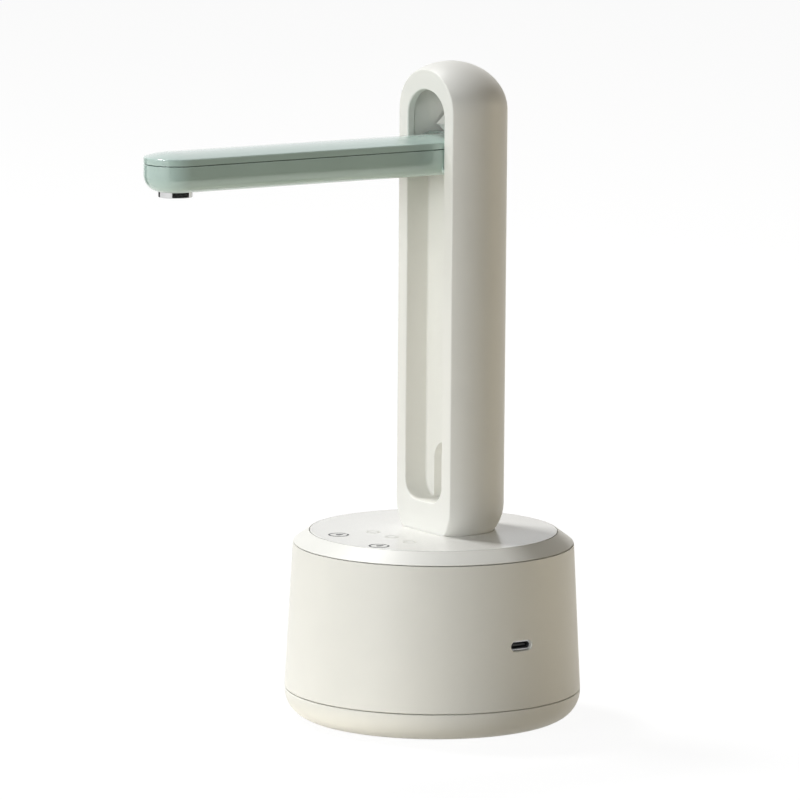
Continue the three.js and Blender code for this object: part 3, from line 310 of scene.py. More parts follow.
def skin(rows, wrap_rows=False, wrap_columns=True):
    """A closed shape through rows of points. Points that meet are merged, and open ends are filled."""
    count = len(rows[0])
    faces = []
    for i in range(len(rows) if wrap_rows else len(rows) - 1):
        here, there = i * count, (i + 1) % len(rows) * count
        for j in range(count if wrap_columns else count - 1):
            k = (j + 1) % count
            faces.append((here + j, here + k, there + k, there + j))
    mesh = bpy.data.meshes.new("shape")
    mesh.from_pydata([point for row in rows for point in row], [], faces)
    work = bmesh.new()
    work.from_mesh(mesh)
    bmesh.ops.remove_doubles(work, verts=work.verts, dist=MERGE)
    bmesh.ops.holes_fill(work, edges=[edge for edge in work.edges if edge.is_boundary])
    bmesh.ops.recalc_face_normals(work, faces=work.faces)
    work.to_mesh(mesh)
    work.free()
    shape = bpy.data.objects.new("shape", mesh)
    bpy.context.scene.collection.objects.link(shape)
    return shape


def lathe(profile, centre=(0, 0), sides=ROUND_SIDES):
    """A profile of (radius, height) pairs turned about a vertical axis.

    It closes on itself, or on the axis where it starts there.
    """
    rows = []
    for radius, height in profile:
        rows.append([(x, y, height) for x, y in circle(radius, sides, centre)])
    return skin(rows, wrap_rows=profile[0][0] > 0)


PLACES = {
    "X": lambda a, b, along: (along, a, b),
    "Y": lambda a, b, along: (a, along, b),
    "Z": lambda a, b, along: (a, b, along),
}


def plate(axis, outline, span):
    """A plate along an axis, with its outline drawn across it."""
    return skin([[PLACES[axis](a, b, along) for a, b in outline] for along in span])


def rod(axis, radius, centre, span, sides=SMALL_SIDES):
    return plate(axis, circle(radius, sides, centre), span)


def block(x, y, z):
    return plate("Z", [(x[0], y[0]), (x[1], y[0]), (x[1], y[1]), (x[0], y[1])], z)


def combined(operation, body, tools):
    for tool in tools:
        step = body.modifiers.new(operation, "BOOLEAN")
        step.operation = operation
        step.solver = "MANIFOLD"
        step.object = tool
    ready = body.evaluated_get(bpy.context.evaluated_depsgraph_get())
    body.data = bpy.data.meshes.new_from_object(ready)
    body.modifiers.clear()
    for tool in tools:
        bpy.data.objects.remove(tool)
    return body


def cut(body, *tools):
    return combined("DIFFERENCE", body, tools)


def join(body, *tools):
    return combined("UNION", body, tools)


def common(body, *tools):
    return combined("INTERSECT", body, tools)


def piece(shape, name, slot, body, *nodes):
    """Makes a shape a named piece in the frame's metres, with its finish.

    It rides on a body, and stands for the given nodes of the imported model.
    """
    shape.name = shape.data.name = name
    shape.data.transform(Matrix.Translation(AXIS) @ Matrix.Scale(MM, 4))
    work = bmesh.new()
    work.from_mesh(shape.data)
    for face in work.faces:
        face.smooth = True
    for edge in work.edges:
        edge.smooth = edge.is_manifold and edge.calc_face_angle() < SHARP
    work.to_mesh(shape.data)
    work.free()
    normals = shape.modifiers.new("normals", "WEIGHTED_NORMAL")
    normals.keep_sharp = True
    shape.data.materials.clear()
    shape.data.materials.append(finishes[slot])
    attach(shape, body)
    if nodes:
        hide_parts(*nodes)
    return shape


# Finishes

NOISE_RANGE = (0.3, 0.7)  # where most of a noise's values lie
MOTTLE_DETAIL = 2
GRAIN_DETAIL = 3
ROUGHNESS_DRIFT = 0.04
RELIEF_STRENGTH = 0.5


def linear(channel):
    """The light that a display gives for a channel's value, by the sRGB curve."""
    return channel / 12.92 if channel <= 0.04045 else ((channel + 0.055) / 1.055) ** 2.4


def noise(tree, scale, detail=MOTTLE_DETAIL, stretch=(1, 1, 1)):
    """Noise over the piece's own surface, at so many grains to the metre."""
    place = tree.nodes.new("ShaderNodeTexCoord")
    shaped = tree.nodes.new("ShaderNodeMapping")
    shaped.inputs["Scale"].default_value = stretch
    grains = tree.nodes.new("ShaderNodeTexNoise")
    grains.inputs["Scale"].default_value = scale
    grains.inputs["Detail"].default_value = detail
    tree.links.new(place.outputs["Object"], shaped.inputs["Vector"])
    tree.links.new(shaped.outputs["Vector"], grains.inputs["Vector"])
    return grains.outputs["Fac"]


def ranged(tree, value, low, high):
    """A noise's values spread between two limits."""
    spread = tree.nodes.new("ShaderNodeMapRange")
    spread.inputs["From Min"].default_value = NOISE_RANGE[0]
    spread.inputs["From Max"].default_value = NOISE_RANGE[1]
    spread.inputs["To Min"].default_value = low
    spread.inputs["To Max"].default_value = high
    tree.links.new(value, spread.inputs["Value"])
    return spread.outputs["Result"]


def finish(
    slot,
    colour,
    roughness,
    mottle=0.02,
    mottle_scale=60,
    grain_scale=2400,
    grain_depth=0.004,
    stretch=(1, 1, 1),
    metallic=0,
    coat=0,
):
    """One material's surface. Its colour drifts a little, and a fine grain gives it relief."""
    made = bpy.data.materials.new(slot)
    made.use_nodes = True
    tree = made.node_tree
    shader = tree.nodes["Principled BSDF"]
    base = [linear(channel) for channel in colour]
    drift = tree.nodes.new("ShaderNodeMix")
    drift.data_type = "RGBA"
    drift.inputs["A"].default_value = (*[channel * (1 - mottle) for channel in base], 1)
    drift.inputs["B"].default_value = (*[min(1, channel * (1 + mottle)) for channel in base], 1)
    tree.links.new(ranged(tree, noise(tree, mottle_scale), 0, 1), drift.inputs["Factor"])
    tree.links.new(drift.outputs["Result"], shader.inputs["Base Color"])
    grains = noise(tree, grain_scale, GRAIN_DETAIL, stretch)
    gloss = ranged(tree, grains, roughness - ROUGHNESS_DRIFT, roughness + ROUGHNESS_DRIFT)
    tree.links.new(gloss, shader.inputs["Roughness"])
    relief = tree.nodes.new("ShaderNodeBump")
    relief.inputs["Strength"].default_value = RELIEF_STRENGTH
    relief.inputs["Distance"].default_value = grain_depth * MM
    tree.links.new(grains, relief.inputs["Height"])
    tree.links.new(relief.outputs["Normal"], shader.inputs["Normal"])
    shader.inputs["Metallic"].default_value = metallic
    shader.inputs["Coat Weight"].default_value = coat
    return made


finishes = {
    "rubber_foot": finish("rubber_foot", (0.17, 0.17, 0.17), 0.8, 0.1, grain_depth=0.02),
    "shell_white": finish("shell_white", (0.937, 0.933, 0.91), 0.45, 0.008),
    "panel_white": finish("panel_white", (0.945, 0.941, 0.925), 0.2, 0.006, grain_depth=0.002),
    "inner_white": finish("inner_white", (0.937, 0.933, 0.914), 0.55, 0.015, grain_depth=0.008),
    "mint": finish("mint", (0.735, 0.825, 0.795), 0.2, 0.012, coat=0.7),
    "silicone": finish("silicone", (0.85, 0.847, 0.824), 0.7, 0.02, grain_depth=0.01),
    "hose": finish("hose", (0.894, 0.902, 0.886), 0.35, 0.02),
    "seal_rubber": finish("seal_rubber", (0.17, 0.17, 0.17), 0.75, 0.1, grain_depth=0.01),
    "steel": finish("steel", (0.79, 0.79, 0.79), 0.28, 0.03, stretch=(1, 1, 12), metallic=1),
    "chrome": finish("chrome", (0.82, 0.82, 0.82), 0.08, 0.01, grain_depth=0.001, metallic=1),
    "board": finish("board", (0.184, 0.365, 0.227), 0.4, 0.15, mottle_scale=350, coat=0.3),
    "dark_plastic": finish("dark_plastic", (0.188, 0.196, 0.204), 0.5, 0.05),
    "cell": finish("cell", (0.24, 0.435, 0.647), 0.35, 0.04, coat=0.3),
}


# Drum


def wall_radius(z):
    share = (z - SEAM_Z) / (RIM_Z - SEAM_Z)
    return SEAM_RADIUS - (SEAM_RADIUS - RIM_RADIUS) * share


def foot_ring():
    """The rubber ring that the drum stands on."""
    inner = ring_high.y - RING_WIDTH
    profile = [
        (inner, ring_low.z, SOFT_EDGE),
        (ring_high.y, ring_low.z, SOFT_EDGE),
        (ring_high.y, ring_high.z),
        (inner, ring_high.z),
    ]
    piece(lathe(rounded(profile)), "foot_ring_fine", "rubber_foot", "stand", "foot_ring")


def bottom_shell():
    """The shell under the seam: the neck socket, the foot ring's groove and the counterbores."""
    low = shell_low.z
    top = SEAM_Z - GAP
    lip_top = SEAM_Z + LIP_HEIGHT - GAP
    lip_outer = SEAM_RADIUS - WALL - GAP
    lip_inner = lip_outer - WALL
    heel = (SEAM_RADIUS - HEEL_RADIUS, low + HEEL_RADIUS)
    groove_inner = ring_high.y - RING_WIDTH - GAP
    groove_outer = ring_high.y + GAP
    groove_top = ring_high.z + GAP
    sill = [
        (WELL_RADIUS, low, SOFT_EDGE),
        (groove_inner, low, FINE_EDGE),
        (groove_inner, groove_top),
    ]
    profile = (
        rounded(sill)
        + [(groove_outer, groove_top), (groove_outer, low)]
        + arc(heel, (HEEL_RADIUS, HEEL_RADIUS), -90, 0, ARC_STEPS)
        + rounded([(SEAM_RADIUS, heel[1]), (SEAM_RADIUS, top, SOFT_EDGE), (lip_outer, top)])[1:]
        + [(lip_outer, lip_top), (lip_inner, lip_top)]
        + arc(heel, (lip_inner - heel[0], HEEL_RADIUS - WALL), 0, -90, ARC_STEPS)
        + [(WELL_RADIUS + WALL, low + WALL), (WELL_RADIUS + WALL, CEILING_Z)]
        + [(INLET_RADIUS + GAP, CEILING_Z), (INLET_RADIUS + GAP, WELL_TOP), (WELL_RADIUS, WELL_TOP)]
    )
    shell = lathe(profile)
    places = on_circle(BOTTOM_SCREWS, SEAM_RADIUS - BOTTOM_SCREW_INSET)
    boss_span = (low + WALL / 2, lip_top)
    bosses = [rod("Z", BOSS_RADIUS + WALL / 2, place, boss_span) for place in places]
    holes = [rod("Z", SCREW_SHANK + SLIP, place, (-FAR, SEAM_Z + HEEL_RADIUS)) for place in places]
    counterbores = [rod("Z", SCREW_HEAD + GAP, place, (-FAR, COUNTERBORE_Z)) for place in places]
    shell = cut(join(shell, *bosses), *holes, *counterbores)
    piece(shell, "bottom_shell_fine", "shell_white", "stand", "bottom_shell")


def bottom_screws():
    """Pan-head screws with a cross recess, seen from below."""
    head = SCREW_HEAD_HEIGHT
    length = screw_high.z - screw_low.z
    chamfer = SOFT_EDGE * 2
    profile = [
        (0, 0),
        (SCREW_HEAD - chamfer, 0),
        (SCREW_HEAD, chamfer),
        (SCREW_HEAD, head),
        (SCREW_SHANK, head),
        (SCREW_SHANK, length),
        (0, length),
    ]
    for i in range(BOTTOM_SCREWS):
        low, high = corners(f"bottom_screw_{i + 1}")
        x, y = (low.x + high.x) / 2, (low.y + high.y) / 2
        screw = lathe([(r, low.z + z) for r, z in profile], (x, y), SMALL_SIDES)
        across = (x - SCREW_SHANK, x + SCREW_SHANK), (y - SCREW_SLOT_HALF, y + SCREW_SLOT_HALF)
        along = (x - SCREW_SLOT_HALF, x + SCREW_SLOT_HALF), (y - SCREW_SHANK, y + SCREW_SHANK)
        depth = (low.z - WALL, low.z + head / 2)
        screw = cut(screw, block(*across, depth), block(*along, depth))
        piece(screw, f"bottom_screw_{i + 1}_fine", "steel", "stand", f"bottom_screw_{i + 1}")


def port_outline(outside):
    """The charging socket's outline, or one a distance outside it."""
    half_width = (usb_high.x - usb_low.x) / 2 + outside
    half_height = (usb_high.z - usb_low.z) / 2 + outside
    low = (PORT_X - half_width, PORT_Z - half_height)
    high = (PORT_X + half_width, PORT_Z + half_height)
    return round_rectangle(low, high, half_height * PORT_CORNER_SHARE)


def port_cutter():
    """The plug opening's cutter, which flares where it meets the drum's wall."""
    rows = [[(x, -SEAM_RADIUS - WALL, z) for x, z in port_outline(SLIP + PORT_FLARE)]]
    for i in range(FLARE_STEPS + 1):
        turn = math.pi / 2 * i / FLARE_STEPS
        outside = SLIP + PORT_FLARE * (1 - math.sin(turn))
        depth = PORT_FLARE * (1 - math.cos(turn))
        row = []
        for x, z in port_outline(outside):
            row.append((x, depth - math.sqrt(wall_radius(PORT_Z) ** 2 - x * x), z))
        rows.append(row)
    rows.append([(x, -SEAM_RADIUS / 2, z) for x, z in port_outline(SLIP)])
    return skin(rows)


def base_shell():
    """The drum's wall, with the opening for the charging plug and a boss over each bottom screw."""
    top = RIM_Z - GAP
    profile = [
        (wall_radius(SEAM_Z) - WALL, SEAM_Z),
        (wall_radius(SEAM_Z), SEAM_Z, SOFT_EDGE),
        (wall_radius(top), top, THIN_EDGE),
        (wall_radius(top) - WALL, top),
    ]
    wall = lathe(rounded(profile))
    boss_span = (SEAM_Z + LIP_HEIGHT, CEILING_Z - BOSS_TOP_GAP)
    places = on_circle(BOTTOM_SCREWS, SEAM_RADIUS - BOTTOM_SCREW_INSET)
    bosses = []
    for x, y in places:
        boss = rod("Z", BOSS_RADIUS, (x, y), boss_span)
        rib = block((0, BOTTOM_SCREW_INSET - WALL / 2), (-WALL / 2, WALL / 2), boss_span)
        outwards = Matrix.Rotation(math.atan2(y, x), 4, "Z")
        rib.data.transform(Matrix.Translation((x, y, 0)) @ outwards)
        bosses.append(join(boss, rib))
    holes = [rod("Z", SCREW_SHANK + SLIP, place, (0, boss_span[1] - WALL)) for place in places]
    wall = cut(join(wall, *bosses), port_cutter(), *holes)
    piece(wall, "base_shell_fine", "shell_white", "stand", "base_shell")


def usb_receptacle():
    """The charging socket's steel can, a dark liner behind the rim that is painted shade for the inside
    of the socket, and the tongue.
    """
    front, back = usb_low.y, usb_high.y
    can = cut(
        plate("Y", port_outline(0), (front, back)),
        plate("Y", port_outline(-PORT_SHEET), (front - WALL, back - PORT_SHEET)),
    )
    piece(can, "usb_can", "steel", "stand", "usb_receptacle")
    # Painted shade: a dark plastic sheet inside the steel can stands in for the shadow in the socket's
    # hollow.
    painted_shade_inset = PORT_SHEET + PAINTED_SHADE_GAP
    painted_shade_liner = cut(
        plate("Y", port_outline(-painted_shade_inset), (front + PORT_SHEET, back - painted_shade_inset)),
        plate("Y", port_outline(-2 * PORT_SHEET), (front - WALL, back - PORT_BACK_WALL)),
    )
    piece(painted_shade_liner, "usb_painted_shade_liner", "dark_plastic", "stand")
    half_width = (usb_high.x - usb_low.x) * TONGUE_HALF_SHARE
    low = (PORT_X - half_width, PORT_Z - PORT_SHEET)
    high = (PORT_X + half_width, PORT_Z + PORT_SHEET)
    span = (front + TONGUE_SET_BACK, back - 2 * PORT_SHEET)
    tongue = plate("Y", round_rectangle(low, high, FINE_EDGE), span)
    piece(tongue, "usb_tongue", "dark_plastic", "stand")


def top_cover():
    """The chamfered ring and its sunk deck, with the hose's hole."""
    skirt_outer = RIM_RADIUS - WALL - GAP
    ring_inner = PANEL_RADIUS + GAP
    profile = [
        (0, DECK_TOP - WALL),
        (skirt_outer - WALL, DECK_TOP - WALL),
        (skirt_outer - WALL, cover_low.z),
        (skirt_outer, cover_low.z),
        (skirt_outer, RIM_Z),
        (RIM_RADIUS, RIM_Z, THIN_EDGE),
        (ring_inner, DECK_Z, THIN_EDGE),
        (ring_inner, DECK_TOP),
        (0, DECK_TOP),
    ]
    hose_hole = rod("Z", HOSE_RADIUS + GAP, (COLUMN_X + HOSE_HOLE_BACK, 0), (0, FAR))
    cover = cut(lathe(rounded(profile)), hose_hole)
    piece(cover, "top_cover_fine", "shell_white", "stand", "top_cover")


def top_panel():
    """The flat touch panel, with an opening that follows the column's foot."""
    profile = [
        (0, FOOT_Z),
        (PANEL_RADIUS, FOOT_Z),
        (PANEL_RADIUS, DECK_Z, THIN_EDGE),
        (0, DECK_Z),
    ]
    foot = common(capsule(-GAP), block((FACE_X - GAP, FAR), (-FAR, FAR), (0, FAR)))
    panel = cut(lathe(rounded(profile)), foot)
    piece(panel, "top_panel_fine", "panel_white", "stand", "top_panel")


def touch_marks():
    """Plain printed marks on the panel: two dark open rings, each round a drop, and faint rings."""
    span = (DECK_Z - MARK_DEPTH, DECK_Z + MARK_PROUD)
    through = (span[0] - WALL, span[1] + WALL)

    def ring(x, y, outer, line):
        return cut(rod("Z", outer, (x, y), span), rod("Z", outer - line, (x, y), through))

    for side in (-1, 1):
        x, y = DARK_MARK_X, MARKS_ASIDE + side * DARK_MARK_STEP
        across = (y - DROP_RADIUS / 2, y + DROP_RADIUS / 2)
        opening = block((x, x + 2 * DARK_MARK_RADIUS), across, through)
        ends = DROP_TURN, 360 - DROP_TURN
        outline = arc((x, y), (DROP_RADIUS, DROP_RADIUS), *ends, SMALL_SIDES // 2)
        drop = plate("Z", [*outline, (x + 2 * DROP_RADIUS, y)], span)
        mark = join(cut(ring(x, y, DARK_MARK_RADIUS, DARK_LINE), opening), drop)
        name = "touch_mark_dark_left" if side > 0 else "touch_mark_dark_right"
        piece(mark, name, "dark_plastic", "stand")
    for i in range(FAINT_MARKS):
        y = MARKS_ASIDE + ((FAINT_MARKS - 1) / 2 - i) * FAINT_MARK_STEP
        mark = ring(FAINT_MARK_X, y, FAINT_MARK_RADIUS, FAINT_LINE)
        piece(mark, f"touch_mark_faint_{i + 1}", "silicone", "stand")


def neck_seal():
    """The sealing ring that the jug's neck presses on, with a raised bead."""
    outer, inner = seal_high.y, seal_high.y - SEAL_WIDTH
    middle = (outer + inner) / 2
    low = seal_low.z + FINE_EDGE
    profile = [
        (inner, low, FINE_EDGE),
        (middle - BEAD_FOOT_HALF, low, FINE_EDGE),
        (middle - BEAD_TOP_HALF, seal_low.z, FINE_EDGE),
        (middle + BEAD_TOP_HALF, seal_low.z, FINE_EDGE),
        (middle + BEAD_FOOT_HALF, low, FINE_EDGE),
        (outer, low, FINE_EDGE),
        (outer, seal_high.z, FINE_EDGE),
        (inner, seal_high.z, FINE_EDGE),
    ]
    piece(lathe(rounded(profile)), "neck_seal_fine", "silicone", "stand", "neck_seal")


def inlet_fitting():
    """The flange with the barb for the suction hose."""
    radius, top = fitting_high.y, fitting_high.z
    low = top - FITTING_HEIGHT
    barb_top = fitting_low.z + BARB_HEIGHT
    bore = INLET_BORE - INLET_WALL
    profile = [
        (bore, fitting_low.z),
        (INLET_BORE, fitting_low.z, FINE_EDGE),
        (INLET_BORE + INLET_WALL, barb_top, FINE_EDGE),
        (INLET_BORE, barb_top),
        (INLET_BORE, low - BARB_HEIGHT, SOFT_EDGE),
        (radius, low - BARB_HEIGHT, SOFT_EDGE),
        (radius, top),
        (INLET_RADIUS + GAP, top),
        (INLET_RADIUS + GAP, low),
        (bore, low),
    ]
    piece(lathe(rounded(profile)), "inlet_fitting_fine", "inner_white", "stand", "inlet_fitting")


# Column


def capsule(inside):
    """The column's whole capsule, or one that lies a distance inside it."""
    radius, rise = COLUMN_RADIUS - inside, DOME_RISE - inside
    profile = arc((0, LOW_DOME_Z), (radius, rise), -90, 0)
    profile += arc((0, HIGH_DOME_Z), (radius, rise), 0, 90)
    profile[0] = (0, profile[0][1])
    profile[-1] = (0, profile[-1][1])
    return lathe(profile, (COLUMN_X, 0))


def closed_ring(half, rise, top_z, low_z, lower):
    """An arch over a half width, down one side, along the lower line and up the other, in (y, z)."""
    rows = [low_z + (top_z - low_z) * i / STRAIGHT_ROWS for i in range(1, STRAIGHT_ROWS)]
    return (
        arc((0, top_z), (half, rise), 0, 180)
        + [(-half, z) for z in reversed(rows)]
        + lower
        + [(half, z) for z in rows]
    )


def shell_ring(half):
    """The capsule's section across X, where it is that wide."""
    rise = half * DOME_SHARE
    lower = arc((0, LOW_DOME_Z), (half, rise), 180, 360)
    return closed_ring(half, rise, HIGH_DOME_Z, LOW_DOME_Z, lower)


def pocket_ring(outside):
    """The pocket's outline, or one a distance outside it, with as many points as shell_ring has."""
    half, corner = POCKET_HALF + outside, POCKET_CORNER + outside
    low = SILL_Z - outside
    corner_z = low + corner
    third = ARC_STEPS // 3
    flat = half - corner
    lower = (
        arc((-flat, corner_z), (corner, corner), 180, 270, third)
        + [(-flat + 2 * flat * i / third, low) for i in range(1, third)]
        + arc((flat, corner_z), (corner, corner), 270, 360, third)
    )
    return closed_ring(half, ARCH_RISE + outside, POCKET_TOP_Z - ARCH_RISE, corner_z, lower)


def column_form():
    """The capsule with its flat face and rounded edges, and the pocket in the face."""
    across = COLUMN_RADIUS - FACE_EDGE
    edge_x = FACE_X + FACE_EDGE
    edge_half = math.sqrt(across**2 - (COLUMN_X - edge_x) ** 2)
    turn = math.degrees(math.atan2(edge_half, edge_x - COLUMN_X))
    fillet = (POCKET_BACK_X - POCKET_FILLET, -POCKET_FILLET), (POCKET_FILLET, POCKET_FILLET)
    edge = (FACE_X + POCKET_EDGE, POCKET_EDGE), (POCKET_EDGE, POCKET_EDGE)
    face_edge = (edge_x, edge_half), (FACE_EDGE, FACE_EDGE)
    round_side = (COLUMN_X, 0), (COLUMN_RADIUS, COLUMN_RADIUS)
    rows = []
    for x, outside in arc(*fillet, 0, 90, EDGE_STEPS):
        rows.append((x, pocket_ring(outside)))
    for x, outside in arc(*edge, 270, 180, EDGE_STEPS):
        rows.append((x, pocket_ring(outside)))
    for x, half in arc(*face_edge, 180, turn, EDGE_STEPS):
        rows.append((x, shell_ring(half)))
    for x, half in arc(*round_side, turn, 0, 2 * ARC_STEPS)[1:]:
        rows.append((x, shell_ring(max(half, 0))))
    return skin([[(x, y, z) for y, z in ring] for x, ring in rows])


def recess_outline(outside):
    """The folded nozzle's recess, or an outline a distance outside it."""
    half = RECESS_HALF + outside
    low = SILL_Z - outside
    return [(-half, low), (half, low)] + arc((0, FOLDED_NOZZLE_Z), (half, half), 0, 180)


def column_shell():
    """The hollow column, with the pocket's tray, the nozzle's recess, a rear window and a hose hole."""
    floor_z = FOOT_Z + FLOOR_THICKNESS
    recess_back_x = POCKET_BACK_X + RECESS_DEPTH
    recess_wall_x = TRAY_BACK_X + RECESS_DEPTH
    head = block((CHEEK_FRONT_X, FAR), (-FAR, FAR), (TRAY_TOP_Z, FAR))
    tray = cut(plate("X", pocket_ring(TRAY_WALL), (FACE_X - WALL, TRAY_BACK_X)), head)
    recess_wall = plate("X", recess_outline(TRAY_WALL), (POCKET_BACK_X, recess_wall_x))
    room = common(capsule(WALL), block((FACE_X + WALL, FAR), (-FAR, FAR), (floor_z, FAR)))
    room = cut(room, tray, recess_wall)
    recess = plate("X", recess_outline(0), (POCKET_BACK_X - POCKET_FILLET / 2, recess_back_x))
    window = plate("X", cover_outline(0), (recess_wall_x + GAP, FAR))
    below = block((-FAR, FAR), (-FAR, FAR), (0, FOOT_Z))
    hose_place = (COLUMN_X + HOSE_HOLE_BACK, 0)
    hose_hole = rod("Z", HOSE_RADIUS + GAP, hose_place, (0, floor_z + WALL))
    shell = cut(column_form(), room, recess, window, below, hose_hole)
    piece(shell, "column_fine", "shell_white", "stand", "column_shell")


def cover_outline(outside):
    """The rear window that the cover closes, or an outline a distance outside it."""
    low, high = back_low.z - GAP - outside, back_high.z + GAP + outside
    half = back_high.y + GAP + outside
    return round_rectangle((-half, low), (half, high), COVER_CORNER + outside)


def rear_cover():
    """The strip that closes the column's back."""
    strip = plate("X", cover_outline(-GAP), (COLUMN_X, FAR))
    cover = cut(common(strip, capsule(0)), capsule(WALL))
    piece(cover, "rear_cover_fine", "shell_white", "stand", "rear_cover")


# Hinge


def cheek(side, *extra):
    """A hinge cheek with its round boss, on one side of the head, joined with what else it carries."""

    def span(a, b):
        return (a, b) if side > 0 else (-b, -a)

    front_x = CHEEK_FRONT_X + GAP
    flange_x = FRAME_BACK_X + GAP
    flange_z = (ARM_TOP_Z, ARM_TOP_Z + FLANGE_HEIGHT)
    thickness = span(CHEEK_INNER, CHEEK_OUTER)
    wall = block((front_x, FRAME_BACK_X), thickness, (cheek_low.z, FAR))
    flange = block(
        (flange_x, flange_x + FLANGE_THICKNESS),
        span(FLANGE_INNER, CHEEK_OUTER),
        flange_z,
    )
    link = block((FRAME_BACK_X - LINK_LENGTH, flange_x), thickness, flange_z)
    centre = (PIVOT_X, PIVOT_Z)
    hub = common(
        rod("Y", HUB_RADIUS, centre, span(HUB_INNER, POCKET_HALF - GAP)),
        block((FACE_X + SLIP / 2, FAR), (-FAR, FAR), (0, FAR)),
    )
    neck = common(
        rod("Y", HUB_RADIUS, centre, span(HUB_INNER, CHEEK_OUTER)),
        block((front_x, FAR), (-FAR, FAR), (0, FAR)),
    )
    body = common(join(wall, link, flange, hub, neck), capsule(WALL + GAP))
    socket_span = span(HUB_INNER - SOCKET_OVERRUN, HUB_INNER + SOCKET_DEPTH)
    socket = rod("Y", SHAFT_RADIUS + SLIP, centre, socket_span)
    return cut(join(body, *extra) if extra else body, socket)


def hinge_cheeks():
    """The plain cheek, and the one that also turns the water from the riser hose towards the hinge."""
    piece(cheek(-1), "hinge_cheek_fine", "inner_white", "stand", "hinge_cheek")
    x = FRAME_BACK_X - BOSS_RADIUS - GAP
    y = CHEEK_OUTER - BOSS_RADIUS + GAP
    span = (cheek_low.z - 2 * WALL, cheek_low.z + WALL)
    pad = block((x - BOSS_RADIUS, x + BOSS_RADIUS), (y - BOSS_RADIUS, CHEEK_OUTER), span)
    pad = common(pad, capsule(WALL + GAP))
    barb = rod("Z", BARB_RADIUS, (x, y), (manifold_low.z, cheek_low.z))
    piece(cheek(1, pad, barb), "swivel_manifold_fine", "inner_white", "stand", "swivel_manifold")


def hinge_frame():
    """The curved piece behind the arm's root: the scoop above, and room for the tail below."""
    depth, height = (TRAY_BACK_X, FRAME_BACK_X), (TRAY_TOP_Z + 2 * GAP, FAR)
    form = block(depth, (-SCOOP_HALF, SCOOP_HALF), height)
    sweep = rod("Y", CAVITY_RADIUS, (PIVOT_X, PIVOT_Z), (-FAR, FAR), ROUND_SIDES)
    scoop = rod("Y", SCOOP_RADIUS, (PIVOT_X, SCOOP_Z), (-FAR, FAR), ROUND_SIDES)
    form = common(cut(form, sweep, scoop), capsule(WALL + GAP))
    piece(form, "hinge_frame_fine", "shell_white", "stand", "hinge_frame")


# Arm


def arm_form(profile, root_x):
    """A half section carried round the arm's tip. It goes from the underside's middle to the top's."""
    rows = [[(root_x, d, z) for d, z in profile]]
    for turn in range(ARC_STEPS + 1):
        angle = math.pi / 2 + math.pi * turn / ARC_STEPS
        rows.append([(NOZZLE_X + d * math.cos(angle), d * math.sin(angle), z) for d, z in profile])
    rows.append([(root_x, -d, z) for d, z in profile])
    return skin(rows, wrap_columns=False)


def arm_root():
    """Round below the pivot, with a tail behind it."""
    knuckle = rod("Y", KNUCKLE_RADIUS, (PIVOT_X, PIVOT_Z), (-ARM_HALF, ARM_HALF), ROUND_SIDES)
    tail = rounded(
        [
            (PIVOT_X - GAP, TAIL_LOW_Z),
            (TAIL_BACK_X, TAIL_LOW_Z, TAIL_CORNER),
            (TAIL_BACK_X, ARM_TOP_Z, TAIL_CORNER),
            (PIVOT_X + KNUCKLE_RADIUS, ARM_TOP_Z),
            (PIVOT_X - GAP, CREASE_Z),
        ]
    )
    return join(knuckle, plate("Y", tail, (-ARM_HALF, ARM_HALF)))


def arm_body():
    """The lower body: rounded below, open above, with the nozzle's hole and the hinge's ears."""

    def section(inside, top, edge):
        corner = LOWER_ROUND - inside
        corner_place = (ARM_HALF - LOWER_ROUND, UNDER_Z + LOWER_ROUND)
        side = ARM_HALF - inside
        return (
            [(0, UNDER_Z + inside)]
            + arc(corner_place, (corner, corner), -90, 0, CORNER_STEPS)
            + rounded([(0, top - WALL), (side, top - WALL), (side, top, edge), (0, top)])[2:-1]
            + [(0, top)]
        )

    upper = block((-FAR, FAR), (-FAR, FAR), (ARM_SEAM_Z, FAR))
    root = cut(arm_root(), upper)
    hollow_end = PIVOT_X - KNUCKLE_RADIUS - WALL
    hollow = arm_form(section(ARM_WALL, ARM_SEAM_Z + WALL, FINE_EDGE), hollow_end)
    nest_z = PIVOT_Z - WATER_BORE - WATER_WALL - GAP
    nest_x = (hollow_end - WALL, PIVOT_X + EAR_INNER)
    nest = block(nest_x, (-EAR_INNER, EAR_INNER), (nest_z, FAR))
    centre = (PIVOT_X, PIVOT_Z)
    bore = rod("Y", SHAFT_RADIUS + SLIP / 2, centre, (-FAR, FAR))
    beside = ((EAR_OUTER, FAR), (-FAR, -EAR_OUTER))
    reliefs = [rod("Y", HUB_RADIUS + GAP, centre, span) for span in beside]
    mouth_z = UNDER_Z + ARM_BODY_HEIGHT / 2
    mouth = rod("Z", NOZZLE_RADIUS + GAP, (NOZZLE_X, 0), (0, mouth_z), ROUND_SIDES)
    form = join(arm_form(section(0, ARM_SEAM_Z, FINE_EDGE), PIVOT_X), root)
    piece(cut(form, hollow, nest, bore, mouth, *reliefs), "arm_body_fine", "mint", "arm", "arm_body")


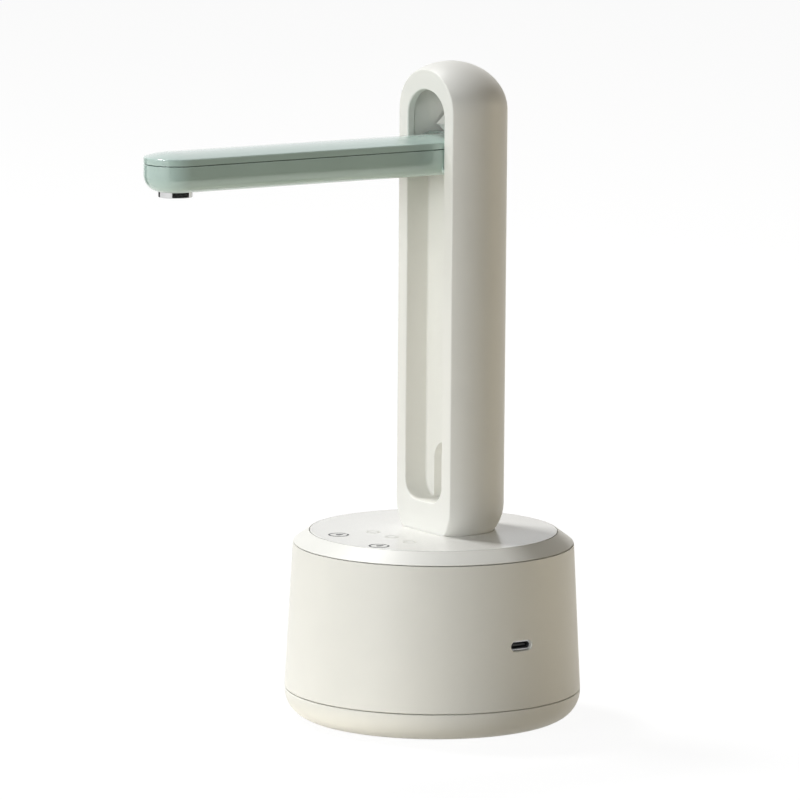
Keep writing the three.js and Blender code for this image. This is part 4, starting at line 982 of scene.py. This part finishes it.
def arm_cover():
    """The crowned cover over the seam, with its rim inside the body."""

    def section(side, low, edge_z, middle_z, edge, crease):
        """Half of a section, whose line first closes on the far side of the middle."""
        rise = middle_z - edge_z
        radius = (side * side + rise * rise) / (2 * rise)
        half_turn = math.degrees(math.asin(side / radius))
        crown = arc((0, middle_z - radius), (radius, radius), 90 - half_turn, 90, CROWN_STEPS)
        crown[-1] = (0, middle_z)
        line = [(0, low), (side, low, edge), (*crown[0], crease), *crown[1:]]
        line += [(-side, middle_z), (-side, low)]
        return [point for point in rounded(line) if point[0] >= 0]

    low = ARM_SEAM_Z + GAP
    below = block((-FAR, FAR), (-FAR, FAR), (0, low))
    hollow_end = PIVOT_X - KNUCKLE_RADIUS - WALL
    outer = section(ARM_HALF, low, CREASE_Z, ARM_TOP_Z, FINE_EDGE, CREASE_ROUND)
    form = join(arm_form(outer, PIVOT_X + KNUCKLE_RADIUS), cut(arm_root(), below))
    under_edge_z, under_z = CREASE_Z - ARM_WALL / 2, ARM_TOP_Z - ARM_WALL
    side = ARM_HALF - ARM_WALL
    under = section(side, low - WALL, under_edge_z, under_z, THIN_EDGE, THIN_EDGE)
    form = cut(form, arm_form(under, hollow_end))
    rim_low, rim_top = low - RIM_DEPTH, CREASE_Z - ARM_WALL / 3
    rims = []
    for half in (side - GAP, side - GAP - RIM_WALL):
        line = [(0, rim_low), (half, rim_low), (half, rim_top), (0, rim_top)]
        rims.append(arm_form(line, hollow_end - GAP))
    piece(join(form, cut(*rims)), "arm_cover_fine", "mint", "arm", "arm_cover")


def nozzle_ring():
    """The metal ring under the arm's tip, with its flange inside."""
    inner, flange = NOZZLE_RADIUS - NOZZLE_WALL, UNDER_Z + ARM_WALL + GAP
    profile = [
        (inner, nozzle_low.z, FINE_EDGE),
        (NOZZLE_RADIUS, nozzle_low.z, SOFT_EDGE),
        (NOZZLE_RADIUS, flange),
        (nozzle_high.y, flange),
        (nozzle_high.y, nozzle_high.z),
        (inner, nozzle_high.z),
    ]
    piece(lathe(rounded(profile), (NOZZLE_X, 0)), "nozzle_ring_fine", "chrome", "arm", "nozzle_ring")


def aerator():
    """The nozzle's insert, with rings of holes."""
    radius = mesh_high.y
    low, high = mesh_low.z, mesh_high.z
    profile = [(0, low), (radius, low, FINE_EDGE), (radius, high), (0, high)]
    insert = lathe(rounded(profile), (NOZZLE_X, 0))
    places = [(0, 0)]
    for count, share in AERATOR_RINGS:
        places += on_circle(count, radius * share)
    holes = []
    for x, y in places:
        holes.append(rod("Z", AERATOR_HOLE, (NOZZLE_X + x, y), (0, FAR), HOLE_SIDES))
    piece(cut(insert, *holes), "aerator_fine", "dark_plastic", "arm", "aerator")


# Camera, measured from edges in the photograph, in millimetres and degrees

CAMERA_CENTRE_Z = 120
CAMERA_REACH = 2331.55
CAMERA_AZIMUTH = 56.376
CAMERA_ELEVATION = 8.73
CAMERA_ROLL = 0.475
CAMERA_FOCUS = 6425.98  # in pixels of the 800 pixel frame
CAMERA_CLIP = 100  # in metres
AIM_LEFT = 12.57  # how far the camera's aim is off that centre
AIM_DOWN = 3.24
FRAME_PIXELS = 800
SENSOR = 36


def camera():
    """The camera at the photograph's angle and distance."""
    azimuth, elevation = math.radians(CAMERA_AZIMUTH), math.radians(CAMERA_ELEVATION)
    level = math.cos(elevation)
    look = Vector((level * math.cos(azimuth), level * math.sin(azimuth), -math.sin(elevation)))
    right = look.cross(Vector((0, 0, 1))).normalized()
    right.rotate(Quaternion(look, -math.radians(CAMERA_ROLL)))
    up = right.cross(look)
    centre = Vector((0, 0, CAMERA_CENTRE_Z))
    place = centre - look * CAMERA_REACH
    back = (place - centre + right * AIM_LEFT + up * AIM_DOWN).normalized()
    right = (right - back * right.dot(back)).normalized()
    turn = Matrix((right, back.cross(right), back)).transposed().to_4x4()
    made = bpy.data.cameras.new("camera")
    made.sensor_width = SENSOR
    made.lens = SENSOR * CAMERA_FOCUS / FRAME_PIXELS
    made.clip_end = CAMERA_CLIP
    holder = bpy.data.objects.new("camera", made)
    bpy.context.scene.collection.objects.link(holder)
    holder.matrix_world = Matrix.Translation(AXIS + place * MM) @ turn
    bpy.context.scene.camera = holder


# Light and floor, in metres about the frame's origin

WHITE = (1, 1, 1)
WARM = (1, 0.93, 0.78)
LOW_WARM = (1, 0.88, 0.66)
COOL = (0.95, 0.98, 1)
LAMP_AIM_Z = 0.12
LAMPS = (  # name, place, width and height, watts, colour
    ("key", (-2.6, 0.6, 0.65), (1.2, 0.8), 10, COOL),
    ("front", (-2.75, -0.6, 0.65), (1.5, 0.8), 39, COOL),
    ("top", (-0.3, 0.99, 2.06), (0.45, 0.45), 33, WHITE),
    ("right", (2.35, -0.95, 0.3), (0.8, 0.8), 12, LOW_WARM),
)
FILL_STRENGTH = 0.03
FLOOR_REACH = 3
FLOOR_NEAR = 0.4
FLOOR_NEAR_BOUNCE = 0.9
FLOOR_FAR_BOUNCE = 0.45
FLOOR_ROUGHNESS = 0.9
FLOOR_WHITE = 0.9
FLOOR_GLOW = 1.09
FLOOR_GLOW_SHARE = 0.85
FLOOR_DARK = 0.02
FLOOR_DARK_SECTORS = ((92, 118), (214, 338))  # degrees from +X


def lamp(name, place, size, power, colour):
    """An area lamp that shines on the object's middle."""
    made = bpy.data.lights.new(name, "AREA")
    made.shape = "RECTANGLE"
    made.size, made.size_y = size
    made.energy = power
    made.color = colour
    holder = bpy.data.objects.new(name, made)
    bpy.context.scene.collection.objects.link(holder)
    aim = Vector((0, 0, LAMP_AIM_Z)) - Vector(place)
    turn = aim.to_track_quat("-Z", "Y").to_matrix().to_4x4()
    holder.matrix_world = Matrix.Translation(place) @ turn


def ray_is(tree, *kinds):
    """One for the named kinds of ray, and zero for all others."""
    path = tree.nodes.new("ShaderNodeLightPath")
    total = path.outputs[kinds[0]]
    for kind in kinds[1:]:
        added = tree.nodes.new("ShaderNodeMath")
        added.operation = "MAXIMUM"
        tree.links.new(total, added.inputs[0])
        tree.links.new(path.outputs[kind], added.inputs[1])
        total = added.outputs[0]
    return total


def surroundings():
    """White behind the object and in what mirrors it, and a dim warm light for its shaded sides."""
    world = bpy.data.worlds.new("surroundings")
    bpy.context.scene.world = world
    world.use_nodes = True
    tree = world.node_tree
    fill = tree.nodes["Background"]
    fill.inputs["Color"].default_value = (*WARM, 1)
    fill.inputs["Strength"].default_value = FILL_STRENGTH
    seen = tree.nodes.new("ShaderNodeBackground")
    seen.inputs["Color"].default_value = (*WHITE, 1)
    seen.inputs["Strength"].default_value = 1
    chosen = tree.nodes.new("ShaderNodeMixShader")
    white_rays = ray_is(tree, "Is Camera Ray", "Is Glossy Ray", "Is Transmission Ray")
    tree.links.new(white_rays, chosen.inputs["Fac"])
    tree.links.new(fill.outputs[0], chosen.inputs[1])
    tree.links.new(seen.outputs[0], chosen.inputs[2])
    tree.links.new(chosen.outputs[0], tree.nodes["World Output"].inputs["Surface"])


def floor_finish(name, bounce, mirrored):
    """White to the camera, and with the given brightness in mirrors. It throws warm light back."""
    material = bpy.data.materials.new(name)
    material.use_nodes = True
    tree = material.node_tree
    shader = tree.nodes["Principled BSDF"]
    shader.inputs["Roughness"].default_value = FLOOR_ROUGHNESS
    seen = ray_is(tree, "Is Camera Ray", "Is Transmission Ray")
    glossy = tree.nodes.new("ShaderNodeMath")
    glossy.operation = "MULTIPLY"
    glossy.inputs[1].default_value = mirrored
    tree.links.new(ray_is(tree, "Is Glossy Ray"), glossy.inputs[0])
    white = tree.nodes.new("ShaderNodeMath")
    white.operation = "MAXIMUM"
    tree.links.new(seen, white.inputs[0])
    tree.links.new(glossy.outputs[0], white.inputs[1])
    base = tree.nodes.new("ShaderNodeMix")
    base.data_type = "RGBA"
    base.inputs["A"].default_value = (*[bounce * channel for channel in WARM], 1)
    base.inputs["B"].default_value = (FLOOR_WHITE, FLOOR_WHITE, FLOOR_WHITE, 1)
    tree.links.new(white.outputs[0], base.inputs["Factor"])
    tree.links.new(base.outputs["Result"], shader.inputs["Base Color"])
    glow = tree.nodes.new("ShaderNodeEmission")
    glow.inputs["Strength"].default_value = FLOOR_GLOW
    share = tree.nodes.new("ShaderNodeMath")
    share.operation = "MULTIPLY"
    share.inputs[1].default_value = FLOOR_GLOW_SHARE
    tree.links.new(white.outputs[0], share.inputs[0])
    chosen = tree.nodes.new("ShaderNodeMixShader")
    tree.links.new(share.outputs[0], chosen.inputs["Fac"])
    tree.links.new(shader.outputs[0], chosen.inputs[1])
    tree.links.new(glow.outputs[0], chosen.inputs[2])
    if mirrored < 1:
        dark = tree.nodes.new("ShaderNodeEmission")
        dark.inputs["Strength"].default_value = mirrored
        dimmed = tree.nodes.new("ShaderNodeMixShader")
        tree.links.new(ray_is(tree, "Is Glossy Ray"), dimmed.inputs["Fac"])
        tree.links.new(chosen.outputs[0], dimmed.inputs[1])
        tree.links.new(dark.outputs[0], dimmed.inputs[2])
        chosen = dimmed
    tree.links.new(chosen.outputs[0], tree.nodes["Material Output"].inputs["Surface"])
    return material


def floor():
    """A white floor with a faint shadow. Two sectors of it look dark in what mirrors them."""
    near, far = circle(FLOOR_NEAR, ROUND_SIDES), circle(FLOOR_REACH, ROUND_SIDES)
    faces = [tuple(range(ROUND_SIDES))]
    for i in range(ROUND_SIDES):
        k = (i + 1) % ROUND_SIDES
        faces.append((i, ROUND_SIDES + i, ROUND_SIDES + k, k))
    mesh = bpy.data.meshes.new("floor")
    mesh.from_pydata([(x, y, 0) for x, y in near + far], [], faces)
    mesh.materials.append(floor_finish("floor_near", FLOOR_NEAR_BOUNCE, 1))
    mesh.materials.append(floor_finish("floor_far", FLOOR_FAR_BOUNCE, 1))
    mesh.materials.append(floor_finish("floor_dark_in_metal", FLOOR_FAR_BOUNCE, FLOOR_DARK))
    for i in range(ROUND_SIDES):
        turn = 360 * i / ROUND_SIDES
        dark = any(low <= turn < high for low, high in FLOOR_DARK_SECTORS)
        mesh.polygons[i + 1].material_index = 2 if dark else 1
    made = bpy.data.objects.new("floor", mesh)
    bpy.context.scene.collection.objects.link(made)


def carried_nodes():
    """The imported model's own solids, which show where no fine piece replaces them, take finishes."""
    for row in frame["record"]["subparts"]:
        materials = frame["nodes"][row["node"]].data.materials
        materials.clear()
        materials.append(finishes[row["material_slot"]])


camera()
surroundings()
floor()
for row in LAMPS:
    lamp(*row)

foot_ring()
bottom_shell()
bottom_screws()
base_shell()
usb_receptacle()
top_cover()
top_panel()
touch_marks()
neck_seal()
inlet_fitting()
column_shell()
rear_cover()
hinge_cheeks()
hinge_frame()
arm_body()
arm_cover()
nozzle_ring()
aerator()
carried_nodes()

bpy.context.scene.view_settings.view_transform = "Standard"
